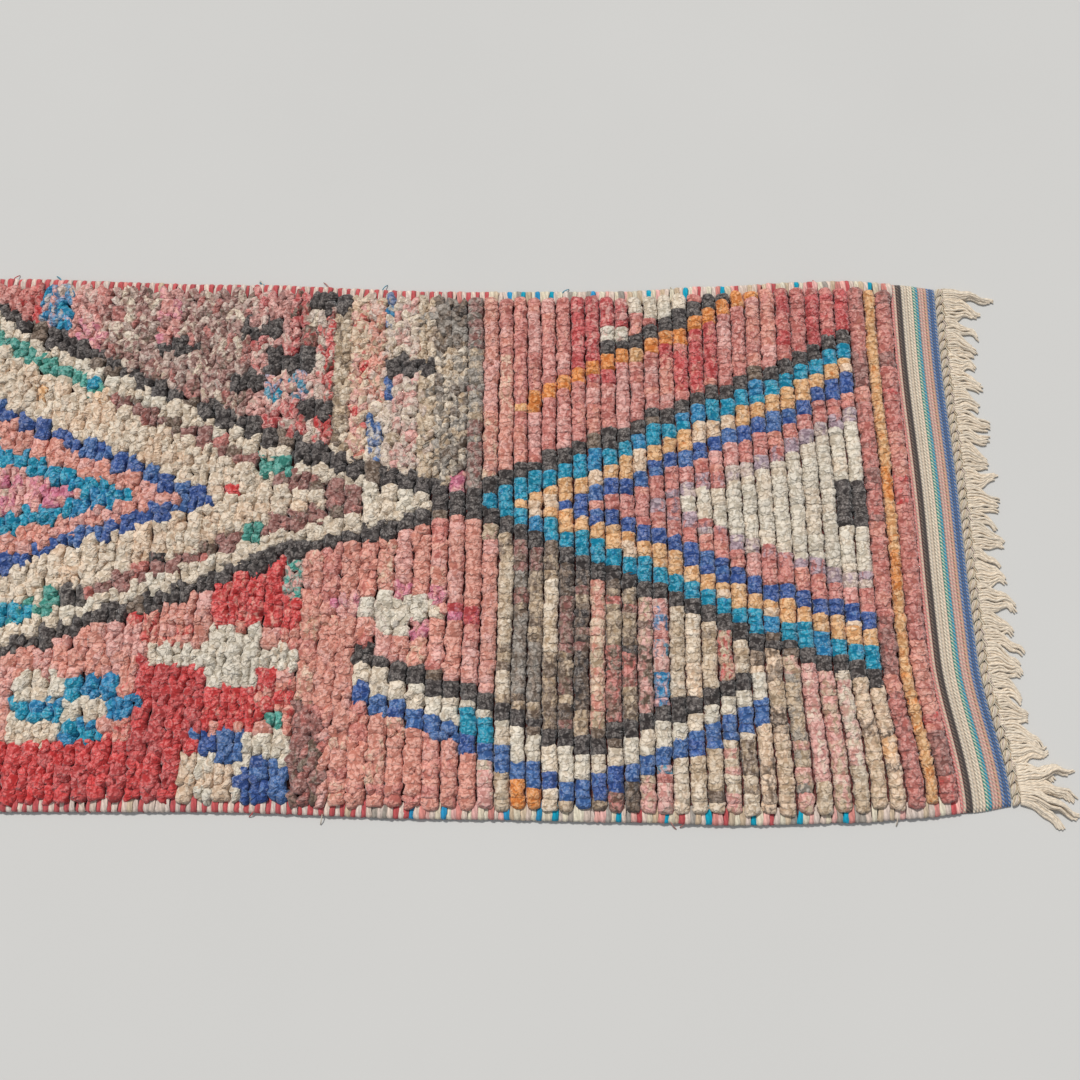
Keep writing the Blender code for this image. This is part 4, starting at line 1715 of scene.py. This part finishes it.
@dataclass
class Selvedges:
    """The weft yarns wrapped over the outer warps along both long edges."""

    cloth: Cloth
    pitch: float = 0.0060
    width: float = 0.0074
    thickness: float = 0.0021
    lump_scale: float = 210.0
    lump_size: float = 0.0011
    sides: int = 8
    reach_in: float = 0.0050
    reach_along: float = 0.0030
    dye_spread: float = 0.12
    red_start: float = -0.45
    red_end_near: float = 0.57
    red_end_far: float = 0.65
    teal_end: float = 0.82
    odd_among_red: float = 0.10
    odd_among_teal: float = 0.30
    seed: int = 31

    RED_TURNS = (Dye.BLUSH, Dye.EDGE_RED)
    TEAL_TURNS = (Dye.WARP, Dye.TURQUOISE, Dye.BLUSH, Dye.WARP, Dye.SKY, Dye.WARP)
    PALE_TURNS = (Dye.BLUSH, Dye.WARP, Dye.BEIGE, Dye.BLUSH, Dye.TURQUOISE, Dye.WARP, Dye.PINK, Dye.EDGE_RED)
    ODD_TURNS = (Dye.PINK, Dye.BEIGE, Dye.BLUSH, Dye.GREY, Dye.ROSE)

    def build(self, finish: bpy.types.Material) -> list[bpy.types.Object]:
        """Build the wraps of the near and the far edge.

        Args:
            finish: The wrap yarn's material.

        Returns:
            One piece for each edge.
        """
        tree = self._tree()
        form = self._form()
        built = []
        for side, name in ((-1.0, "selvedge_near"), (1.0, "selvedge_far")):
            lumps = {"Lump scale": self.lump_scale, "Lump size": self.lump_size}
            built.append(tree.run(name, self._carrier(side), {"Wrap": form, **lumps, "Finish": finish}))
        bpy.data.objects.remove(form)
        return built

    def _form(self) -> bpy.types.Object:
        """Build one wrap, bent over a selvedge whose outer edge is at Y 0 and which lies toward +Y.

        Returns:
            The wrap, which is only a form to set on points.
        """
        inner = self.cloth.selvedge + self.reach_in
        bends = (
            (inner, 0.0044), (inner * 0.72, 0.0060), (inner * 0.40, 0.0066), (0.0042, 0.0060),
            (0.0018, 0.0046), (0.0016, 0.0028), (0.0034, 0.0017), (0.0100, 0.0016),
        )
        points: list[Point] = []
        around: list[float] = []
        run: list[float] = []
        travelled = 0.0
        for number, (y, z) in enumerate(bends):
            before = bends[max(number - 1, 0)]
            after = bends[min(number + 1, len(bends) - 1)]
            travelled += math.dist((y, z), before)
            lean = Vector((0.0, after[0] - before[0], after[1] - before[1])).normalized()
            out = Vector((0.0, lean.z, -lean.y))
            for side in range(self.sides):
                angle = FULL_TURN * side / self.sides
                flat = math.cos(angle) * 0.5 * self.width
                thick = math.sin(angle) * 0.5 * self.thickness
                point = Vector((flat, y, z)) + out * thick
                points.append((point.x, point.y, max(point.z, 0.0003)))
                around.append(side / self.sides)
                run.append(travelled)
        mesh = plain_mesh("wrap_form", points, tube_faces(len(bends), self.sides))
        give(mesh, "around", "FLOAT", around)
        give(mesh, "run", "FLOAT", run)
        return link("wrap_form", mesh)

    def _carrier(self, side: float) -> bpy.types.Mesh:
        """Lay out the wraps along one edge.

        Args:
            side: Which edge it is, -1 near or 1 far.

        Returns:
            Points that carry each wrap's turn, size and dye.
        """
        chance = random.Random(self.seed + int(side))
        tones = Tones(self.seed + 2 + int(side))
        start = -self.cloth.pile_half - self.reach_along
        count = round((self.cloth.pile_half + self.cloth.pile_end + 2.0 * self.reach_along) / self.pitch)
        red_end = self.red_end_near if side < 0.0 else self.red_end_far
        places, turns, sizes, dyes = [], [], [], []
        for number in range(count):
            x = start + self.pitch * (number + 0.5)
            near, far = self.cloth.edges(x)
            y = near if side < 0.0 else far
            places.append((x + self.cloth.shift(x, y), y, 0.0))
            lean = chance.gauss(-0.05, 0.06)
            turns.append((0.0, 0.0, lean + (0.0 if side < 0.0 else math.pi)))
            sizes.append((chance.uniform(0.84, 1.14), chance.uniform(0.90, 1.06), chance.uniform(0.84, 1.10)))
            red = self.red_start < x < red_end
            turned = self.RED_TURNS if red else self.TEAL_TURNS if x < self.teal_end else self.PALE_TURNS
            dye = turned[number % len(turned)]
            if chance.random() < (self.odd_among_red if red else self.odd_among_teal):
                dye = chance.choice(self.ODD_TURNS)
            dyes.append(tones.near(linear(dye.value), self.dye_spread))
        mesh = plain_mesh("wrap_places", places, [])
        give(mesh, "turn", "FLOAT_VECTOR", turns)
        give(mesh, "size", "FLOAT_VECTOR", sizes)
        give(mesh, "main_dye", "FLOAT_COLOR", dyes)
        return mesh

    @staticmethod
    def _tree() -> ShapeTree:
        """Build the tree that bends one wrap over the edge at every point.

        Returns:
            The tree.
        """
        tree = ShapeTree("wrap_selvedge")
        form = tree.input("Wrap", "NodeSocketObject")
        lump = tree.scale_and_size("Lump")
        finish = tree.input("Finish", "NodeSocketMaterial")
        wrap = tree.node("GeometryNodeObjectInfo", None, {"Object": form}).out("Geometry")
        tree.close(tree.roughen(tree.on_points(wrap), *lump), finish)
        return tree


class Strand(NamedTuple):
    """A yarn that runs free: its points, its thickness at each of them, and its dye."""

    points: list[Point]
    radii: list[float]
    dye: Dye


@dataclass
class YarnRunner:
    """Turns strands into round yarns, with their run and turn kept for the twist."""

    sides: int = 6
    dye_spread: float = 0.07

    def build(self, name: str, strands: Sequence[Strand], finish: bpy.types.Material) -> bpy.types.Object:
        """Build one piece from many strands.

        Args:
            name: The piece's name.
            strands: The yarns.
            finish: The yarn's material.

        Returns:
            The piece.
        """
        curves = bpy.data.curves.new(f"{name}.lines", "CURVE")
        curves.dimensions = "3D"
        for strand in strands:
            spline = curves.splines.new("POLY")
            spline.points.add(len(strand.points) - 1)
            for point, place, radius in zip(spline.points, strand.points, strand.radii):
                point.co = (*place, 1.0)
                point.radius = radius
        values = {"Sides": self.sides, "Finish": finish}
        piece = self._tree().run(name, curves, values)
        tones = Tones(len(strands))
        per_strand = []
        for strand in strands:
            tone = tones.near(linear(strand.dye.value), self.dye_spread)
            per_strand += [tone] * (len(strand.points) * self.sides)
        give(piece.data, "main_dye", "FLOAT_COLOR", per_strand)
        return piece

    @staticmethod
    def _tree() -> ShapeTree:
        """Build the tree that gives each line its round section.

        Returns:
            The tree.
        """
        tree = ShapeTree("spin_yarn")
        sides = tree.input("Sides", "NodeSocketInt")
        finish = tree.input("Finish", "NodeSocketMaterial")
        along = tree.node("GeometryNodeSplineParameter")
        keep = {"data_type": "FLOAT", "domain": "POINT"}

        def stored(geometry: Wire, name: str, measure: str) -> Wire:
            """Store how far along its curve each point lies."""
            sockets = {"Geometry": geometry, "Name": name, "Value": along.out(measure)}
            return tree.node("GeometryNodeStoreNamedAttribute", keep, sockets).out()

        ring = tree.node("GeometryNodeCurvePrimitiveCircle", None, {"Resolution": sides, "Radius": 1.0}).out()
        sockets = {
            "Curve": stored(tree.geometry, "run", "Length"),
            "Profile Curve": stored(ring, "around", "Factor"),
            "Fill Caps": True,
            "Scale": tree.node("GeometryNodeInputRadius").out(),
        }
        tree.close(tree.node("GeometryNodeCurveToMesh", None, sockets).out(), finish)
        return tree


@dataclass
class TwinedEdge:
    """The twined chain at one end of the cloth: two bundles of yarn that cross in slanted links."""

    cloth: Cloth
    side: float
    name: str
    dyes: tuple[Dye, ...]
    link_count: int = 52
    yarn: float = 0.00088
    strands_a_link: int = 6
    strands_a_twist: int = 3
    link_offset: float = 0.0043
    twist_offset: float = 0.0118
    twist_thickness: float = 0.82
    slant: float = 0.0034
    inner: float = 0.0014
    outer: float = 0.0162
    end_gap: float = 0.002
    steps: tuple[float, ...] = (-1.0, -0.72, -0.3, 0.15, 0.6, 1.0)
    near_end: float = 0.0
    far_end: float = 0.0
    seed: int = 41

    def build(self, runner: YarnRunner, finish: bpy.types.Material) -> bpy.types.Object:
        """Build the chain: fat slanted links beside the cloth and a thinner twist outside them.

        Args:
            runner: Spins the links.
            finish: The cotton's material.

        Returns:
            The piece.
        """
        chance = random.Random(self.seed)
        near, far = self.cloth.edges(self.side * self.cloth.cloth_half)
        self.near_end, self.far_end = near + self.end_gap, far - self.end_gap
        pitch = (far - near) / self.link_count
        strands = []
        for number in range(self.link_count):
            middle = near + (number + 0.5) * pitch
            fat = chance.uniform(0.86, 1.06)
            for ply in range(self.strands_a_link):
                dye = self.dyes[(number + ply) % len(self.dyes)]
                across = (ply - 0.5 * (self.strands_a_link - 1)) * 1.95 * self.yarn
                strands.append(self._link(middle, 1.0, across, pitch, fat, dye, chance))
            for ply in range(self.strands_a_twist):
                dye = self.dyes[(number + ply) % len(self.dyes)]
                across = (ply - 1) * 2.2 * self.yarn
                thick = self.twist_thickness
                strands.append(self._link(middle + 0.5 * pitch, -1.0, across, pitch, thick, dye, chance))
        return runner.build(self.name, strands, finish)

    def _link(
        self,
        middle: float,
        lean: float,
        across: float,
        pitch: float,
        fat: float,
        dye: Dye,
        chance: random.Random,
    ) -> Strand:
        """Lay one yarn of a link, which dives under the next link at both ends.

        Args:
            middle: The link's middle across the runner.
            lean: Which way it slants, 1 beside the cloth or -1 in the outer twist.
            across: How far the yarn lies from the middle of its bundle.
            pitch: The distance between two links.
            fat: How thick its yarns are, against others.
            dye: The yarn's dye.
            chance: The source of its small differences.

        Returns:
            The yarn.
        """
        points, radii = [], []
        rise = chance.uniform(0.0014, 0.0022)
        offset = self.link_offset if lean > 0.0 else self.twist_offset
        for step in self.steps:
            bulge = 1.0 - step * step
            y = middle + step * 0.60 * pitch + across * (0.25 if lean > 0.0 else 0.5)
            x = offset + lean * step * self.slant + across * (0.55 + 0.60 * bulge) * fat
            x = min(max(x, self.inner), self.outer)
            y = min(max(y, self.near_end), self.far_end)
            z = 0.0024 + rise * bulge + 0.0012 * bulge * math.cos(0.4 * across / self.yarn)
            y += across * 0.12 * math.sin(3.0 * step + across / self.yarn)
            points.append((self._place(x, y), y, max(z, self.yarn + 0.0002)))
            radii.append(self.yarn * (0.74 + 0.26 * bulge) * fat)
        return Strand(points, radii, dye)

    def _place(self, offset: float, y: float) -> float:
        """Find X of a point at some distance outside the cloth's end."""
        x = self.side * (self.cloth.cloth_half + offset)
        return x + self.cloth.shift(x, y)


class Lock(NamedTuple):
    """A lock of fringe: its root, its reach, how far it leans, how its tip hooks, and its yarns."""

    root: float
    width: float
    reach: float
    lean: float
    hook: float
    yarns: int
    height: float
    gather: float = 0.40


@dataclass
class WarpFringe:
    """The warp ends: soft cotton yarns that lie on the floor in combed locks."""

    cloth: Cloth
    roots: int = 84
    clump_sizes: tuple[int, ...] = (3, 4, 2, 4, 3, 5, 2, 3, 4, 3)
    plain_length: float = 0.046
    length_spread: float = 0.012
    yarn: float = 0.00180
    yarns_a_root: int = 3
    corner_roots: int = 3
    layers: int = 3
    steps: int = 11
    root_depth: float = 0.0045
    ripple: tuple[float, float] = (0.0010, 0.0028)
    ripple_run: float = 190.0
    own_wave: tuple[float, float] = (0.0003, 0.0010)
    own_wave_run: float = 330.0
    splay: float = 0.0012
    tip_start: float = 0.80
    seed: int = 53
    near_tuft: tuple[Lock, ...] = (
        Lock(-0.2930, 0.020, 0.070, 0.010, -0.003, 20, 0.0120, 0.26),
        Lock(-0.3030, 0.018, 0.080, -0.002, -0.014, 20, 0.0090, 0.24),
        Lock(-0.3110, 0.018, 0.072, -0.018, -0.008, 19, 0.0130, 0.26),
        Lock(-0.3170, 0.014, 0.054, -0.020, -0.012, 14, 0.0070, 0.30),
    )
    far_tuft: tuple[Lock, ...] = (
        Lock(0.3225, 0.014, 0.074, -0.003, -0.008, 15, 0.0090),
        Lock(0.3130, 0.014, 0.058, -0.010, -0.012, 11, 0.0065),
    )

    def build(self, runner: YarnRunner, finish: bpy.types.Material) -> bpy.types.Object:
        """Build the fringe.

        Args:
            runner: Spins the yarns.
            finish: The cotton's material.

        Returns:
            The piece.
        """
        chance = random.Random(self.seed)
        strands: list[Strand] = []
        for lock in (*self.near_tuft, *self._plain_locks(chance), *self.far_tuft):
            phase, ripple = chance.uniform(0.0, FULL_TURN), chance.uniform(*self.ripple)
            for number in range(lock.yarns):
                strands.append(self._strand(lock, number, phase, ripple, chance))
        return runner.build("warp_fringe", strands, finish)

    def _plain_locks(self, chance: random.Random) -> Iterable[Lock]:
        """Gather the roots between the corner tufts into locks.

        Args:
            chance: The source of their differences.

        Yields:
            The locks, from the near edge to the far edge.
        """
        near, far = self.cloth.edges(self.cloth.cloth_half)
        pitch = (far - near) / self.roots
        root, last, clump = self.corner_roots, self.roots - self.corner_roots, 0
        while root < last:
            size = min(self.clump_sizes[clump % len(self.clump_sizes)], last - root)
            middle = near + (root + 0.5 * size) * pitch
            reach = self.plain_length + chance.uniform(-self.length_spread, self.length_spread)
            lean = chance.uniform(-0.005, 0.003)
            hook = -abs(chance.gauss(0.0095, 0.0040)) if chance.random() < 0.88 else 0.004
            width, height = (size + 0.6) * pitch, 0.0040 + 0.0006 * size
            yield Lock(middle, width, reach, lean, hook, size * self.yarns_a_root, height)
            root += size
            clump += 1

    def _strand(self, lock: Lock, number: int, phase: float, ripple: float, chance: random.Random) -> Strand:
        """Lay one yarn of a lock, from its root under the twined edge to its tip.

        Args:
            lock: The lock.
            number: Which of its yarns it is.
            phase: Where the lock's ripple starts.
            ripple: How far the lock ripples.
            chance: The source of its own differences.

        Returns:
            The yarn.
        """
        start = self.cloth.half_length - self.root_depth
        shift = self.cloth.shift(self.cloth.cloth_half, lock.root)
        place = (number + 0.5) / lock.yarns - 0.5
        layer = number % self.layers / (self.layers - 1)
        reach = lock.reach * (1.0 - 0.16 * abs(place)) * chance.uniform(0.86, 1.02)
        gather = lock.gather * chance.uniform(0.70, 1.25)
        own_wave, own_phase = chance.uniform(*self.own_wave), chance.uniform(0.0, FULL_TURN)
        top = self.yarn + (lock.height - 2.0 * self.yarn) * layer * (1.0 - 1.4 * abs(place))
        splay = chance.gauss(0.0, self.splay)
        points, radii = [], []
        for step in range(self.steps):
            share = step / (self.steps - 1)
            run = share * reach
            narrow = 1.0 + (gather - 1.0) * ease(share * 1.3 - 0.2)
            x = start + run * (1.0 - 0.07 * abs(lock.hook) / 0.006 * share * share)
            y = lock.root + place * lock.width * narrow + lock.lean * ease(share)
            y += lock.hook * share * share * share + splay * share
            y += ripple * math.sin(phase + run * self.ripple_run) * ease(share * 2.0)
            y += own_wave * math.sin(own_phase + run * self.own_wave_run)
            arch = math.sin(math.pi * min(share * 1.15, 1.0)) ** 0.7
            z = max(self.yarn, 0.0026 * (1.0 - ease(share * 2.5)) + top * (0.35 + 0.65 * arch))
            points.append((x + shift, y, z))
            radii.append(self.yarn * (1.0 - 0.45 * ease((share - self.tip_start) / (1.0 - self.tip_start))))
        return Strand(points, radii, Dye.FRINGE)


@dataclass
class StrayEnds:
    """A few loose yarn ends that stick out at the edges."""

    cloth: Cloth
    count: int = 26
    yarn: float = 0.0006
    steps: int = 6
    root_depth: float = 0.006
    near_share: float = 0.6
    dyes: tuple[Dye, ...] = (Dye.CORAL, Dye.CREAM, Dye.TURQUOISE, Dye.WARP, Dye.ROSE)
    seed: int = 67

    def build(self, runner: YarnRunner, finish: bpy.types.Material) -> bpy.types.Object:
        """Build the loose ends.

        Args:
            runner: Spins the yarns.
            finish: The yarn's material.

        Returns:
            The piece.
        """
        chance = random.Random(self.seed)
        strands = []
        for _ in range(self.count):
            x = chance.uniform(-self.cloth.pile_half, self.cloth.pile_half)
            near, far = self.cloth.edges(x)
            near_side = chance.random() < self.near_share
            y, out = (near + self.root_depth, -1.0) if near_side else (far - self.root_depth, 1.0)
            reach = chance.uniform(0.008, 0.015)
            slide = chance.uniform(-0.010, 0.010)
            points = []
            for step in range(self.steps + 1):
                share = step / self.steps
                z = 0.0055 + 0.002 * math.sin(math.pi * share) - 0.0045 * share
                points.append((x + slide * share * share, y + out * reach * share, max(z, 0.0008)))
            strands.append(Strand(points, [self.yarn] * len(points), chance.choice(self.dyes)))
        return runner.build("stray_ends", strands, finish)


@dataclass(frozen=True)
class Studio:
    """The floor, the light and the photograph's viewing angle."""

    aim: Point = (0.715, -0.010, 0.0)
    elevation: float = 73.7
    distance: float = 1.32
    lens: float = 36.03
    sensor: float = 36.0
    floor_half: float = 6.0
    key_strength: float = 2.6
    key_softness: float = 7.0
    key_color: Color = (1.0, 0.975, 0.94)
    key_direction: Point = (0.34, -0.62, -1.0)
    surround: Tone = (0.86, 0.90, 0.96, 1.0)
    surround_strength: float = 0.42

    def build(self, floor_finish: bpy.types.Material) -> None:
        """Build the stage.

        Args:
            floor_finish: The floor's material.
        """
        half = self.floor_half
        corners = [(-half, -half, 0.0), (half, -half, 0.0), (half, half, 0.0), (-half, half, 0.0)]
        floor = link("floor", plain_mesh("floor", corners, [(0, 1, 2, 3)]))
        floor.data.materials.append(floor_finish)
        self._camera()
        self._lights()

    def _camera(self) -> None:
        """Stand the camera where the photograph was taken."""
        data = bpy.data.cameras.new("camera")
        data.lens, data.sensor_width = self.lens, self.sensor
        camera = bpy.data.objects.new("camera", data)
        up = math.radians(self.elevation)
        aim = Vector(self.aim)
        camera.location = aim + Vector((0.0, -math.cos(up), math.sin(up))) * self.distance
        camera.rotation_euler = (math.radians(90.0 - self.elevation), 0.0, 0.0)
        bpy.context.scene.collection.objects.link(camera)
        bpy.context.scene.camera = camera

    def _lights(self) -> None:
        """Set a soft high key light from the far left and an even pale surround."""
        data = bpy.data.lights.new("key", "SUN")
        data.energy = self.key_strength
        data.angle = math.radians(self.key_softness)
        data.color = self.key_color
        key = bpy.data.objects.new("key", data)
        key.rotation_mode = "QUATERNION"
        key.rotation_quaternion = Vector(self.key_direction).to_track_quat("-Z", "Y")
        bpy.context.scene.collection.objects.link(key)
        world = bpy.data.worlds.new("surround")
        world.use_nodes = True
        background = world.node_tree.nodes["Background"]
        background.inputs["Color"].default_value = self.surround
        background.inputs["Strength"].default_value = self.surround_strength
        bpy.context.scene.world = world
        bpy.context.scene.view_settings.view_transform = "Standard"


def report(pieces: Sequence[bpy.types.Object], nodes: Sequence[str]) -> None:
    """Fix pieces to the frame and log each one.

    Args:
        pieces: The finished pieces.
        nodes: The solids that they stand for.
    """
    for piece in pieces:
        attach(piece, "root")
        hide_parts(*nodes)
        triangles = sum(len(face.vertices) - 2 for face in piece.data.polygons)
        LOG.info("%s: %d triangles", piece.name, triangles)


def main() -> None:
    """Build the runner and its stage."""
    logging.basicConfig(level=logging.INFO, format="%(message)s", stream=sys.stdout)
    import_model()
    cloth = Cloth()
    runner = YarnRunner()
    wool = WoolFinish().build()
    weave = WeaveFinish().build()
    wrap = TwistFinish("wrap_yarn", 4.0, twist_pitch=0.020, furrow_shade=0.74, low_shade=0.55).build()
    twine = TwistFinish("twined_cotton", twist_pitch=0.0060, furrow_shade=0.72, low_shade=0.55).build()
    cotton = TwistFinish("warp_cotton_yarn", twist_pitch=0.0070, furrow_shade=0.80).build()

    ground = GroundWeave(cloth).build(weave)
    report(ground, ["rug_body"])
    pile = Pile(cloth, Chart()).build(wool)
    report(pile, ["rug_body"])
    selvedges = Selvedges(cloth).build(wrap)
    report(selvedges, ["rug_body"])
    twined = TwinedEdge(cloth, 1.0, "twined_edge", (Dye.WARP, Dye.BEIGE, Dye.WARP, Dye.BLUSH))
    chain = twined.build(runner, twine)
    fringe = WarpFringe(cloth).build(runner, cotton)
    report([chain, fringe], ["fringe_end"])
    closing = TwinedEdge(cloth, -1.0, "closing_chain", (Dye.CREAM, Dye.WARP, Dye.BEIGE)).build(runner, twine)
    report([closing], ["closing_cord"])
    stray = StrayEnds(cloth).build(runner, wrap)
    report([stray], ["rug_body"])

    on_it = [*ground[1:], *pile, *selvedges, chain, fringe, closing, stray]
    Studio().build(FloorFinish().build())
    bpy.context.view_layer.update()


if __name__ == "__main__":
    main()
